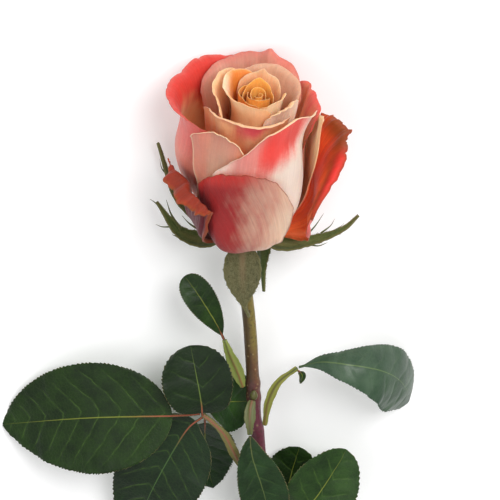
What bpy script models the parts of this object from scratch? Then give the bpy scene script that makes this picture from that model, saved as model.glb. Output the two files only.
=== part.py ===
"""A cut rose lying on a table: bloom with layered petals, sepals, stem with its hip, and leaves.

The flower is described upright, in millimetres, in a frame whose origin is the foot of the bloom:
+Z runs up the stem, -Y is the flower's front and +X its right. It is then laid on its back.
"""

import math
from dataclasses import dataclass

import bpy
import numpy as np
from mathutils import Matrix, Vector

# Pose
NOD = 10.0  # degrees the bloom nods to the front
LEAN = 4.7  # degrees the bloom leans to the right
SLOPE = 3.98  # degrees the stem rises from its cut end to the bloom
BLOOM_HEIGHT = 18.3  # mm from the table to the foot of the bloom
CENTRE_SHIFT = (12.85, 79.25)  # mm that centre the lying flower over the origin

# Thicknesses, mm
PETAL_THICK = 0.65
PETAL_GAP = 0.45
PETALS_RISE = 2.5  # mm from the foot of the bloom to the lowest petals
LEAF_THICK = 0.7
RIB_THICK = 1.1
SEPAL_THICK = 0.8

# Stem
STEM_RADIUS = 2.35
STEM_END = -230.0
STEM_SIDES = 12
PRICKLES = 16
SEED = 7

# Grids: points across and along
PETAL_GRID = (11, 11)
CORE_GRID = (9, 7)
LEAF_ROWS = 17
SEPAL_ROWS = 10
WORK_GRID = (61, 51)  # petals are pushed apart on this finer grid

# Shares of a petal's half width and of its height
BELLY_AT = 0.38
PEEL_FROM = 0.3
CORNER_FROM = 0.8

# Layers table: degrees round the bloom by mm up it
CELLS = 360
TOP = 84


@dataclass
class Petal:
    """One petal, by its rim and its belly. Triples hold the left corner, the middle, the right corner."""

    name: str
    az: float  # degrees round the bloom, 0 at the front, positive to the right
    span: float  # half of its width, in degrees
    rim_z: tuple  # mm up
    rim_r: tuple  # mm from the bloom's axis
    belly: tuple  # radius and height, mm
    lip: tuple = (20, 20, 20)  # degrees that the rim leans out
    flap: tuple = (1.0, 2.0, 1.0)  # mm of margin that turns further
    turn: tuple = (20, 25, 20)  # degrees that it turns
    root: float = 5.0  # mm from the axis
    base: float = 0.0  # mm up
    bowl: float = 0.35  # how round the lower part is
    curl: float = 1.0
    waist: float = 0.3  # width at the root, as a share
    widest: float = 0.8
    tip: float = 0.0  # mm that a point stands above the rim
    tip_at: float = 0.0
    tip_width: float = 0.2
    wave: float = 0.3  # mm
    waves: float = 3.0
    phase: float = 0.0
    sharp: float = 2.2
    clear: float = 0.0  # mm more between it and the petals inside it
    pinch: float = 0.0  # how much less its belly bulges at its sides
    peel: float = 0.0  # mm that its left margin stands further out
    corner: float = 0.0  # degrees that its top right corner reaches past its side


EVEN = (0.3, 0.3, 0.3)
PETALS = [
    Petal("petal_core_1", 40, 150, (65.5, 66.5, 65.5), (1.2, 1.5, 1.8), (3.0, 30), (0, 0, 0), EVEN,
          root=1.0, base=5, wave=0.05),
    Petal("petal_core_2", 200, 130, (65.5, 67.5, 66), (2.2, 2.6, 3.0), (4.2, 30), (0, 0, 0), EVEN,
          root=1.2, base=5, wave=0.1),
    Petal("petal_core_3", -20, 120, (65.5, 67, 65.5), (3.4, 3.8, 4.0), (5.2, 30), (0, 5, 5), EVEN,
          root=1.6, base=5, wave=0.1),
    Petal("petal_core_4", 175, 105, (64.5, 70, 64.5), (4.6, 5.0, 5.0), (6.2, 30), (5, 5, 5), EVEN,
          root=1.9, base=4.6, wave=0.15, sharp=1.3),
    Petal("petal_core_5", -60, 105, (66, 66.5, 64), (5.4, 6.2, 6.2), (7.4, 30), (10, 15, 10), EVEN,
          root=2.0, base=4, wave=0.15),
    Petal("petal_heart_back", 173, 66, (65.5, 67.5, 65), (9.0, 9.0, 9.0), (9.5, 30), (20, 25, 20),
          root=2.4, base=4, wave=0.15, tip=1.8, tip_at=-0.05, tip_width=0.12),
    Petal("petal_heart_right", 50, 62, (65, 68.5, 65.5), (8.0, 9.0, 9.0), (10.5, 30), (0, 10, 15),
          root=2.6, base=3, wave=0.15),
    Petal("petal_heart_left", -75, 104, (68, 70, 68), (10, 11.8, 10.4), (11.5, 30), (20, 25, 8),
          root=2.8, base=3, wave=0.15),
    Petal("petal_ring_back", 150, 75, (63, 67, 61), (13, 15.5, 15), (14, 30), (25, 30, 20),
          root=3.0, base=3, wave=0.2),
    Petal("petal_ring_right", 45, 35, (65, 68, 69), (12.0, 13.0, 13), (15.0, 30), (20, 30, 25),
          root=3.2, base=2, wave=0.2),
    Petal("petal_ring_left", -100, 62, (64, 68, 61), (16.0, 15.2, 16.0), (15.5, 30), (30, 20, 10),
          root=3.4, base=2, wave=0.2),
    Petal("petal_front_blush", -15, 70, (63, 64.6, 67), (19.5, 16.2, 15.0), (17.0, 30), (10, 15, 20),
          (1, 3, 2), (40, 60, 40), root=3.6, base=2, wave=0.25),
    Petal("petal_back", 181, 56, (55.5, 61, 56), (20, 25.5, 24.5), (18.5, 32), (30, 35, 25),
          (3, 4, 2), (30, 40, 30), root=4.0, base=2, wave=0.5, tip=3.5, tip_at=-0.2, tip_width=0.1),
    Petal("petal_right_cup", 112, 38, (57, 60, 56), (21, 21.5, 20.5), (19.0, 30), (20, 30, 20),
          root=4.2, base=1),
    Petal("petal_left_cup", -113, 58, (60, 60, 58), (27, 29.4, 14), (28.5, 38), (30, 35, 25),
          (3, 4, 1.5), (30, 50, 20), root=4.4, base=1, wave=0.5, sharp=4.5, pinch=0.3, clear=0.5),
    Petal("petal_under_front", 2, 50, (50, 52, 50), (19.5, 19.5, 20), (19.5, 26), (5, 5, 5),
          root=4.6, base=1, wave=0.2),
    Petal("petal_front_left", -34, 32, (56.5, 60, 52), (21.6, 20.6, 20.2), (20.6, 26), (10, 10, 5),
          (1, 1, 1), root=4.6, base=0.8, bowl=0.35, waist=0.6, widest=0.65, wave=0.1),
    Petal("petal_front_right", 11, 52, (44.5, 63, 68.5), (21, 20.6, 22.5), (21.4, 26), (0, 10, 25),
          (1, 3, 2), (10, 40, 40), root=4.6, base=1.2, bowl=0.3, waist=0.5, widest=0.6, clear=0.4,
          sharp=1.1, tip=4.0, tip_at=0.42, tip_width=0.35, corner=15),
    Petal("petal_guard_right_inner", 104, 40, (67.5, 55, 48), (20.5, 21.5, 23), (21, 26), (5, 5, 5),
          (1, 1, 1), root=4.6, bowl=0.5, waist=0.6, wave=0.1, sharp=1.5, peel=5.5, clear=0.3),
    Petal("petal_guard_back", 178, 52, (42, 46, 42), (26, 26, 26), (22.5, 22), (30, 40, 30),
          (4, 6, 4), (40, 60, 40), root=4.6, bowl=0.6, wave=0.5),
    Petal("petal_guard_front", -5, 50, (37, 48, 30), (24.0, 23.5, 22.5), (22.0, 22), (15, -10, 0),
          (1, 1, 1), root=4.6, base=5.0, bowl=0.25, waist=0.6, wave=0.4),
    Petal("petal_guard_left", -60, 31, (35, 33, 30), (25, 24.5, 22.5), (22.5, 18), (60, 60, 60),
          (6, 9, 9), (60, 80, 90), root=4.6, bowl=0.4, waist=0.5, wave=0.8, clear=1.1),
    Petal("petal_guard_right", 93, 34, (17, 47.5, 45), (26.5, 31.5, 28), (24.5, 20), (50, 40, 50),
          (2, 4, 4), (20, 40, 40), root=4.6, base=0.4, clear=0.3, bowl=0.6, wave=0.9),
]


@dataclass
class Blade:
    """A leaflet, a leaf or a sepal along its midrib, in mm in the upright frame."""

    name: str
    path: tuple  # points of the midrib
    face: tuple  # the way its upper side looks
    half_width: float
    stalk: float = 0.06  # share of the length that is bare stalk
    low: float = 0.55  # power of the outline at the foot
    high: float = 0.75  # power of the outline at the tip
    fold: float = 0.25  # rise of the margin over the midrib, as a share of the width
    tooth: float = 0.05  # depth of a tooth, as a share of the width


LEAFLETS = [
    Blade("leaf_upper_blade", ((-6.9, -3.9, -40.2), (-10.0, -5.5, -32.0), (-16.0, -4.5, -21.5),
          (-21.0, -1.0, -15.5)), (0.2, -0.95, 0.2), 5.6, stalk=0.05, low=1.0, high=0.45),
    Blade("leaf_front_blade", ((2.5, -9.4, -77.5), (3.4, -12.0, -85.0), (7.2, -13.5, -98.0),
          (10.5, -12.5, -113.0)), (0.1, -0.95, 0.2), 8.8, stalk=0.0, low=0.85, high=0.6, fold=0.3),
    Blade("leaf_left_terminal", ((-15.6, -7.2, -69.6), (-24.5, -8.5, -69.6), (-56, -4.0, -73.2),
          (-87.5, 12.0, -85.4)), (0.0, -0.93, 0.36), 20.5, stalk=0.13, fold=0.08),
    Blade("leaf_left_upper", ((-14.7, -8.5, -69.5), (-15.5, -10.5, -60.0), (-19.0, -5.0, -42.2)),
          (0.0, -0.93, 0.36), 12.8, stalk=0.05, low=0.5, high=0.45),
    Blade("leaf_left_lower", ((-14.6, -6.2, -71.4), (-21.5, -4.0, -80.0), (-34.0, -2.0, -107.0),
          (-37.0, 5.0, -125.0)), (-0.1, -0.95, 0.2), 16.4, stalk=0.06, fold=0.12),
    Blade("leaf_left_behind_up", ((-13.9, -5.1, -69.7), (-8.0, 1.0, -69.9), (0.0, 6.8, -72.6),
          (3.4, 8.4, -73.6)), (0.0, -0.95, 0.3), 11.2, stalk=0.08, high=0.5, fold=0.1),
    Blade("leaf_left_behind_down", ((-13.8, -5.0, -72.0), (-13.8, 4.6, -88.0), (-12.8, 9.0, -101.0),
          (-11.0, 10.4, -111.5)), (0.0, -0.97, 0.2), 11.0, stalk=0.12, fold=0.1),
    Blade("leaf_right_blade", ((20.15, -8.3, -49.25), (28.4, -10.5, -45.9), (38.5, -12.0, -46.2),
          (48.6, -10.3, -49.2), (55.4, -5.0, -55.6), (59.4, 1.5, -64.6), (60.1, 8.0, -73.6)),
          ((0.0, -0.66, 0.75), (0.1, -0.7, 0.7), (0.35, -0.75, 0.55), (0.5, -0.7, 0.45)), 11.6,
          stalk=0.01, low=1.15, high=0.5, fold=-0.35),
    Blade("leaf_right_leaflet", ((19.9, -9.8, -49.9), (21.3, -11.5, -50.8), (20.9, -11.6, -54.2)),
          (0.6, -0.7, 0.2), 1.5, stalk=0.1, tooth=0.0),
    Blade("leaf_low_right", ((15.1, -4.6, -117.6), (25.0, -9.0, -106.0), (34.0, -7.0, -92.0),
          (37.5, -5.0, -86.0)), (0.1, -0.95, 0.25), 12.5, stalk=0.05, high=0.55),
    Blade("leaf_low_behind", ((14.8, -2.9, -117.0), (17.0, 5.0, -105.0), (20.5, 7.6, -92.5)),
          (0.0, -0.95, 0.25), 9.5, stalk=0.12, high=0.5, fold=0.1),
    Blade("leaf_low_left", ((13.7, -6.1, -118.6), (3.0, -9.5, -116.0), (-8.0, -11.0, -109.0),
          (-11.0, -10.5, -105.0)), (-0.1, -0.95, 0.2), 9.0, stalk=0.06, high=0.5),
    Blade("leaf_low_terminal", ((15.5, -4.9, -119.9), (22.0, -6.0, -133.0), (34.0, 0.0, -150.0),
          (42.0, 6.9, -162.0)), (0.1, -0.97, 0.2), 15.0, stalk=0.08),
]


@dataclass
class Stalk:
    """A leaf stalk, with or without wings, in mm in the upright frame."""

    name: str
    path: tuple
    face: tuple
    wings: tuple  # half widths along it
    thick: float = 1.5


STALKS = [
    Stalk("stalk_upper", ((-0.1, -0.8, -61.8), (-1.9, -2.4, -55.0), (-4.6, -3.2, -47.5), (-6.7, -3.7, -40.7)),
          (0.0, -0.95, 0.1), (0.9, 2.2, 2.4, 1.6, 0.8)),
    Stalk("stalk_front", ((3.3, -3.9, -66.0), (2.6, -6.2, -68.5), (2.4, -8.6, -73.0), (2.5, -9.3, -77.0)),
          (0.0, -0.8, 0.6), (1.2, 1.9, 2.2, 1.3, 0.8)),
    Stalk("stalk_left", ((2.6, -1.2, -98.6), (-1.5, -4.2, -91.5), (-6.5, -6.0, -79.5), (-11.0, -6.6, -73.6),
          (-14.6, -6.8, -70.0)), (0.0, -0.95, 0.3), (1.0, 1.3, 1.8, 1.6, 0.9, 0.8)),
    Stalk("stalk_right", ((7.9, -2.2, -77.0), (9.2, -4.8, -66.5), (12.8, -6.9, -56.6),
          (19.4, -8.2, -49.8)), (-0.3, -0.9, 0.3), (0.7, 1.2, 1.6, 1.6, 1.0, 0.8)),
    Stalk("stalk_low", ((9.4, -2.8, -134.0), (11.0, -5.2, -127.0), (14.4, -4.4, -118.4)),
          (0.1, -0.95, 0.3), (1.1, 1.7, 1.4, 0.9)),
]


@dataclass
class Sepal:
    """A sepal along its keel, in mm in the upright frame."""

    name: str
    path: tuple
    face: tuple
    widths: tuple  # half widths along it, mm
    fold: float = 0.25


SEPALS = [
    Sepal("sepal_front", ((0.0, -6.4, 0.5), (-0.2, -9.0, -4.5), (-0.1, -8.2, -14.0), (0.4, -6.4, -24.0),
          (2.1, -5.2, -30.0)), ((0, -0.3, 1.0), (0, -1, 0.1), (0, -1, 0.1), (0, -1, 0)),
          (3.2, 6.4, 6.9, 6.2, 4.6, 2.4, 0.5, 0.4)),
    Sepal("sepal_left", ((-6.3, 0.2, 0.5), (-14.0, 0.0, -1.4), (-23.0, 1.0, 1.8), (-31.0, 3.5, 12.8)),
          ((-0.3, -0.1, 1.0), (0.0, -0.5, 0.9), (0.3, -0.8, 0.3)),
          (3.0, 4.2, 4.0, 3.0, 2.2, 1.4, 0.8, 0.4)),
    Sepal("sepal_back_left", ((-3.7, 5.0, 0.5), (-12.0, 11.0, -1.5), (-24.0, 14.0, 9.0),
          (-30.5, 12.5, 32.0)), ((-0.3, 0.3, 1.0), (0.4, -0.5, 0.7), (0.6, -0.7, 0.2)),
          (3.0, 3.6, 3.0, 2.2, 1.6, 1.0, 0.7, 0.4)),
    Sepal("sepal_back_right", ((3.8, 5.0, 0.5), (6.6, 9.0, -3.5), (7.0, 9.4, -15.0), (7.6, 8.0, -27.0)),
          ((0.3, 0.4, 1.0), (0.5, 0.8, 0.1)), (3.0, 4.0, 4.0, 3.2, 2.2, 1.2, 0.7, 0.4)),
    Sepal("sepal_right", ((6.1, -1.0, 0.5), (14.0, -2.6, -1.6), (26.0, -0.6, -0.6), (36.0, 1.0, 3.0),
          (41.5, 2.0, 8.0)), ((0.3, -0.1, 1.0), (0.0, -0.5, 0.9), (-0.3, -0.8, 0.3)),
          (3.0, 4.0, 3.4, 2.4, 1.8, 1.2, 0.8, 0.4)),
]


def clear_scene():
    for obj in list(bpy.data.objects):
        bpy.data.objects.remove(obj)


def smooth(x):
    x = np.clip(x, 0.0, 1.0)
    return x * x * (3 - 2 * x)


def across(three, u, power):
    """A value between the left corner's, the middle's and the right corner's."""
    left = np.clip(-u, 0, 1) ** power
    right = np.clip(u, 0, 1) ** power
    return three[1] + (three[0] - three[1]) * left + (three[2] - three[1]) * right


def hermite(start, end, start_slope, end_slope, t):
    t2 = t * t
    t3 = t2 * t
    return ((2 * t3 - 3 * t2 + 1) * start + (t3 - 2 * t2 + t) * start_slope
            + (3 * t2 - 2 * t3) * end + (t3 - t2) * end_slope)


def folded_over(lip, turn, flap, out, steps=12):
    """How far out and up a flap has gone, with most of its turn near the fold."""
    gone_out = 0 * (lip + out)
    gone_up = 0 * gone_out
    for step in range(steps):
        along = out * (step + 0.5) / steps
        angle = lip + turn * (1 - (1 - along) ** 2)
        gone_out = gone_out + np.sin(angle) * flap * out / steps
        gone_up = gone_up + np.cos(angle) * flap * out / steps
    return gone_out, gone_up


def petal_surface(p, nu, nv):
    """Angle, radius and height of the petal's middle surface, each nu by nv."""
    u = np.linspace(-1, 1, nu)[:, None]
    v = np.linspace(0, 1, nv)[None, :]
    rim_z = across(p.rim_z, u, p.sharp) + p.tip * np.exp(-((u - p.tip_at) / p.tip_width) ** 2)
    rim_r = across(p.rim_r, u, p.sharp)
    lip = np.radians(across(p.lip, u, 2.0))
    flap = across(p.flap, u, 2.0)
    turn = np.radians(across(p.turn, u, 2.0))
    base = p.base + PETALS_RISE
    belly_r = p.belly[0] * (1 - p.pinch * u ** 2)
    belly_z = p.belly[1] * rim_z / p.rim_z[1]
    end = 1.0 - np.clip(flap / (rim_z + flap), 0.03, 0.4)
    low = np.pi / 2 * np.clip(v / BELLY_AT, 0, 1)
    high = np.clip((v - BELLY_AT) / (end - BELLY_AT), 0, 1)
    out = np.clip((v - end) / (1.0001 - end), 0, 1)
    low_r = p.root + (belly_r - p.root) * np.sin(low)
    low_z = base + (belly_z - base) * (p.bowl * (1 - np.cos(low)) + (1 - p.bowl) * low * 2 / np.pi)
    rise = rim_z - belly_z
    high_r = hermite(belly_r, rim_r, 0.0, rise * 1.15 * np.sin(lip) * p.curl, high)
    high_z = hermite(belly_z, rim_z, rise, rise * 1.15 * np.cos(lip) * p.curl, high)
    gone_out, gone_up = folded_over(lip, turn, flap, out)
    flap_r = rim_r + gone_out
    flap_z = rim_z + gone_up
    r = np.where(v < BELLY_AT, low_r, np.where(v < end, high_r, flap_r))
    z = np.where(v < BELLY_AT, low_z, np.where(v < end, high_z, flap_z))
    wide = p.waist + (1 - p.waist) * np.sin(np.pi / 2 * np.clip(v / p.widest, 0, 1)) ** 1.1
    over = np.clip((v - p.widest) / (1.0001 - p.widest), 0, 1)
    phi = np.radians(p.az + p.span * u * wide * (1 - 0.05 * over ** 2))
    edge = smooth((v - 0.6) / 0.4)
    side = smooth((np.abs(u) - 0.5) / 0.5) * smooth(v / 0.8)
    peeled = np.clip((-u - PEEL_FROM) / (1 - PEEL_FROM), 0, 1) ** 2
    r = r + p.peel * peeled * smooth((v - 0.2) / 0.6)
    cornered = np.clip(u, 0, 1) ** 3 * smooth((v - CORNER_FROM) / (1 - CORNER_FROM))
    phi = phi + np.radians(p.corner) * cornered
    ripple = np.sin(np.pi * p.waves * u + p.phase) * edge
    ripple = ripple + 0.5 * np.sin(1.6 * np.pi * p.waves * v + p.phase * 1.7) * side * (1 - edge)
    r = r + p.wave * ripple
    z = z + 0.6 * p.wave * np.sin(np.pi * p.waves * 1.3 * u + p.phase + 1) * edge
    return phi + 0 * r, np.maximum(r, 0.4), z


def finer(values, times):
    """The grid with more points between its own."""
    n, m = values.shape
    more_n = np.linspace(0, n - 1, (n - 1) * times + 1)
    more_m = np.linspace(0, m - 1, (m - 1) * times + 1)
    wide = np.array([np.interp(more_m, np.arange(m), row) for row in values])
    return np.array([np.interp(more_n, np.arange(n), column) for column in wide.T]).T


class Layers:
    """How far out the petals reach, by angle and height, so that each petal lies outside the last."""

    def __init__(self):
        self.reach = np.zeros((CELLS, TOP))
        self.soft = self.reach

    def soften(self):
        most = self.reach.copy()
        for shift in range(-4, 5):
            most = np.maximum(most, np.roll(self.reach, shift, 0))
        for start in (0, 35):
            up = np.pad(most, ((0, 0), (1, 1)), mode="edge")
            high = np.maximum(np.maximum(up[:, :-2], up[:, 2:]), most)
            most[:, start:] = high[:, start:]
        for _ in range(3):
            most = (np.roll(most, 2, 0) + most + np.roll(most, -2, 0)) / 3
            wide = np.pad(most, ((0, 0), (2, 2)), mode="edge")
            most = (wide[:, :-4] + wide[:, 2:-2] + wide[:, 4:]) / 3
        self.soft = np.maximum(most, self.reach)

    def taken(self, phi, z):
        angle = np.degrees(phi) % CELLS
        height = np.clip(z, 0, TOP - 1.001)
        i = np.floor(angle).astype(int) % CELLS
        k = np.floor(height).astype(int)
        a = angle - np.floor(angle)
        b = height - k
        j = (i + 1) % CELLS
        near = (1 - a) * self.soft[i, k] + a * self.soft[j, k]
        far = (1 - a) * self.soft[i, k + 1] + a * self.soft[j, k + 1]
        return (1 - b) * near + b * far

    def add(self, phi, r, z):
        i = np.round(np.degrees(finer(phi, 3))).astype(int) % CELLS
        k = np.clip(np.round(finer(z, 3)), 0, TOP - 1).astype(int)
        np.maximum.at(self.reach, (i.ravel(), k.ravel()), finer(r, 3).ravel() + PETAL_THICK / 2)


def widened(values):
    """The most within one step each way."""
    pad = np.pad(values, 1, mode="edge")
    beside = np.maximum(pad[:-2, 1:-1], pad[2:, 1:-1])
    above = np.maximum(pad[1:-1, :-2], pad[1:-1, 2:])
    return np.maximum(values, np.maximum(beside, above))


def pushed_out(layers, phi, r, z, clear):
    """The radius at which the petal clears the petals inside it."""
    layers.soften()
    taken = layers.taken(phi, z)
    need = np.where(taken > 0.01, taken + PETAL_GAP + clear + PETAL_THICK / 2, 0.0)
    least = np.maximum(need - r, 0.0)
    push = widened(widened(least))
    for _ in range(8):
        pad = np.pad(push, 1, mode="edge")
        ring = pad[:-2, 1:-1] + pad[2:, 1:-1] + pad[1:-1, :-2] + pad[1:-1, 2:]
        push = np.maximum((ring + 2 * push) / 6, least)
    return r + push


def bloom_to_flower():
    return Matrix.Rotation(math.radians(NOD), 4, "X") @ Matrix.Rotation(math.radians(LEAN), 4, "Y")


def flower_to_world():
    move = Matrix.Translation((CENTRE_SHIFT[0], CENTRE_SHIFT[1], BLOOM_HEIGHT))
    return move @ Matrix.Rotation(math.radians(SLOPE - 90), 4, "X")


def moved(matrix, points):
    m = np.array(matrix)
    return points @ m[:3, :3].T + m[:3, 3]


def normals_of(grid):
    along = np.gradient(grid, axis=0)
    up = np.gradient(grid, axis=1)
    n = np.cross(along, up)
    return n / np.maximum(np.linalg.norm(n, axis=2, keepdims=True), 1e-9)


def on_table(points, height):
    points = points.copy()
    points[..., 2] = np.maximum(points[..., 2], height)
    return points


def mesh_object(name, vertices, faces, colour):
    mesh = bpy.data.meshes.new(name)
    mesh.from_pydata([tuple(v) for v in vertices], [], faces)
    mesh.update()
    obj = bpy.data.objects.new(name, mesh)
    bpy.context.scene.collection.objects.link(obj)
    material = bpy.data.materials.new(name)
    material.use_nodes = True
    shader = material.node_tree.nodes["Principled BSDF"]
    shader.inputs["Base Color"].default_value = (*colour, 1.0)
    shader.inputs["Roughness"].default_value = 0.55
    mesh.materials.append(material)
    mesh.shade_smooth()
    return obj


def shell(name, grid, thick, colour):
    """A closed thin body on both sides of a grid of world points in mm."""
    n, m = grid.shape[:2]
    normal = normals_of(grid)
    half = np.broadcast_to(np.asarray(thick) / 2, (n, m))[..., None]
    top = on_table(grid + normal * half, 0.0)
    under = on_table(grid - normal * half, 0.0)
    vertices = np.concatenate([top.reshape(-1, 3), under.reshape(-1, 3)]) / 1000
    count = n * m
    faces = []
    for i in range(n - 1):
        for k in range(m - 1):
            a = i * m + k
            b = a + m
            faces.append((a, b, b + 1))
            faces.append((a, b + 1, a + 1))
            faces.append((count + a, count + b + 1, count + b))
            faces.append((count + a, count + a + 1, count + b + 1))
    rim = [i * m for i in range(n)]
    rim += [(n - 1) * m + k for k in range(1, m)]
    rim += [i * m + m - 1 for i in range(n - 2, -1, -1)]
    rim += [k for k in range(m - 2, 0, -1)]
    for a, b in zip(rim, rim[1:] + rim[:1]):
        faces.append((a, count + b, b))
        faces.append((a, count + a, count + b))
    return mesh_object(name, vertices, faces, colour)


def pick(values, count):
    """Every so many-th row or column, first and last kept."""
    return np.round(np.linspace(0, values - 1, count)).astype(int)


def rows_up_a_petal(count):
    """Rows of the work grid that a petal keeps: more of them where its margin turns."""
    share = np.interp(np.linspace(0, 1, count), (0, 0.6, 1), (0, 0.72, 1))
    return np.round(share * (WORK_GRID[1] - 1)).astype(int)


def build_petals():
    layers = Layers()
    to_flower = bloom_to_flower()
    to_world = flower_to_world()
    for number, p in enumerate(PETALS):
        phi, r, z = petal_surface(p, *WORK_GRID)
        r = pushed_out(layers, phi, r, z, p.clear)
        layers.add(phi, r, z)
        grid = np.stack([r * np.sin(phi), -r * np.cos(phi), z], -1)
        grid = moved(to_world @ to_flower, grid)
        size = CORE_GRID if p.name.startswith("petal_core") else PETAL_GRID
        columns = pick(WORK_GRID[0], size[0])
        rows = rows_up_a_petal(size[1])
        grid = on_table(grid[np.ix_(columns, rows)], PETAL_THICK / 2)
        inner = number / (len(PETALS) - 1)
        shell(p.name, grid, PETAL_THICK, (0.85, 0.50 - 0.35 * inner, 0.28 - 0.15 * inner))


def spline(points, count):
    """A smooth curve through the points, evenly spaced."""
    p = np.array(points, float)
    p = np.concatenate([[2 * p[0] - p[1]], p, [2 * p[-1] - p[-2]]])
    out = []
    for i in range(1, len(p) - 2):
        for t in np.linspace(0, 1, 40, endpoint=False):
            a = 2 * p[i]
            b = p[i + 1] - p[i - 1]
            c = 2 * p[i - 1] - 5 * p[i] + 4 * p[i + 1] - p[i + 2]
            d = -p[i - 1] + 3 * p[i] - 3 * p[i + 1] + p[i + 2]
            out.append(0.5 * (a + b * t + c * t * t + d * t ** 3))
    out.append(p[-2])
    out = np.array(out)
    far = np.concatenate([[0], np.cumsum(np.linalg.norm(np.diff(out, axis=0), axis=1))])
    even = np.linspace(0, far[-1], count)
    return np.stack([np.interp(even, far, out[:, k]) for k in range(3)], -1)


def ribbon(path, face, half, fold, sides):
    """A grid of points across and along a path. half is its half width at each point."""
    tangent = np.gradient(path, axis=0)
    tangent /= np.linalg.norm(tangent, axis=1, keepdims=True)
    faces = np.atleast_2d(np.array(face, float))
    at = np.linspace(0, len(faces) - 1, len(path))
    faces = np.stack([np.interp(at, np.arange(len(faces)), faces[:, k]) for k in range(3)], -1)
    side = np.cross(tangent, faces)
    side /= np.linalg.norm(side, axis=1, keepdims=True)
    up = np.cross(side, tangent)
    grid = []
    for t in sides:
        lift = fold * half[:, None] * (abs(t) ** 1.5)
        grid.append(path + side * (half * t)[:, None] + up * lift)
    return np.array(grid)


def leaflet_grid(b, rows):
    path = spline(b.path, rows)
    s = np.linspace(0, 1, rows)
    t = np.clip((s - b.stalk) / (1 - b.stalk), 0, 1)
    peak = b.low / (b.low + b.high)
    most = peak ** b.low * (1 - peak) ** b.high
    half = b.half_width * t ** b.low * (1 - t) ** b.high / most
    half = np.maximum(half, 0.6)
    sides = (-1.0, -0.5, 0.0, 0.5, 1.0)
    grid = ribbon(path, b.face, half, b.fold, sides)
    step = np.gradient(path, axis=0)
    for i in range(2, rows - 1):
        out = b.tooth if i % 2 else -b.tooth
        for k in (0, 4):
            grid[k, i] += (grid[k, i] - grid[2, i]) * out + step[i] * (0.35 if i % 2 else 0.0)
    return grid


def build_leaves():
    to_world = flower_to_world()
    ribs = np.array([LEAF_THICK, LEAF_THICK, RIB_THICK, LEAF_THICK, LEAF_THICK])[:, None]
    for b in LEAFLETS:
        rows = LEAF_ROWS if b.half_width > 3 else 6
        grid = on_table(moved(to_world, leaflet_grid(b, rows)), LEAF_THICK / 2)
        shell(b.name, grid, ribs, (0.03, 0.09, 0.02))
    for s in STALKS:
        rows = 12
        path = spline(s.path, rows)
        half = np.interp(np.linspace(0, 1, rows), np.linspace(0, 1, len(s.wings)), s.wings)
        grid = moved(to_world, ribbon(path, s.face, half, 0.2, (-1.0, -0.45, 0.0, 0.45, 1.0)))
        thick = np.array([0.7, 1.2, s.thick, 1.2, 0.7])[:, None]
        shell(s.name, grid, thick, (0.2, 0.08, 0.03))


def build_sepals():
    to_world = flower_to_world()
    for s in SEPALS:
        path = spline(s.path, SEPAL_ROWS)
        half = np.interp(np.linspace(0, 1, SEPAL_ROWS), np.linspace(0, 1, len(s.widths)), s.widths)
        grid = moved(to_world, ribbon(path, s.face, half, s.fold, (-1.0, -0.5, 0.0, 0.5, 1.0)))
        grid = on_table(grid, SEPAL_THICK / 2)
        thick = np.array([0.65, SEPAL_THICK, 1.1, SEPAL_THICK, 0.65])[:, None]
        shell(s.name, grid, thick, (0.10, 0.13, 0.04))


HIP = ((6.9, 0.4), (5.6, 1.3), (4.4, 2.3), (3.5, 3.1), (2.5, 3.9), (2.0, 4.2), (1.2, 5.1), (-0.2, 5.5),
       (-3.0, 5.3), (-6.6, 4.2), (-10.0, 3.1), (-13.0, 2.5))
STEM_PATH = ((0.0, 0.0, -13.0), (2.4, 0.3, -37.0), (4.3, 0.0, -75.0), (5.6, -0.3, -85.0), (7.4, 0.0, -120.0),
             (8.2, 0.2, -170.0), (7.6, 0.0, STEM_END))
KNOTS = (-61.0, -66.5, -79.0, -99.0, -135.0, -180.0)  # heights where a leaf grows or has grown


def tube(name, rings, colour):
    """A closed body through rings of points, fanned shut at both ends."""
    sides = len(rings[0])
    vertices = [point for ring in rings for point in ring]
    vertices.append(np.mean(rings[0], axis=0))
    vertices.append(np.mean(rings[-1], axis=0))
    first = len(vertices) - 2
    faces = []
    for i in range(len(rings) - 1):
        for k in range(sides):
            a = i * sides + k
            b = i * sides + (k + 1) % sides
            faces.append((a, b, b + sides, a + sides))
    last = (len(rings) - 1) * sides
    for k in range(sides):
        after = (k + 1) % sides
        faces.append((first, after, k))
        faces.append((first + 1, last + k, last + after))
    return mesh_object(name, np.array(vertices) / 1000, faces, colour)


def ring_about(centre, radius, sides=STEM_SIDES, shear=0.0):
    points = []
    for k in range(sides):
        angle = 2 * math.pi * k / sides
        points.append((centre[0] + radius * math.cos(angle), centre[1] + radius * math.sin(angle),
                       centre[2] + shear * math.cos(angle)))
    return np.array(points)


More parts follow.
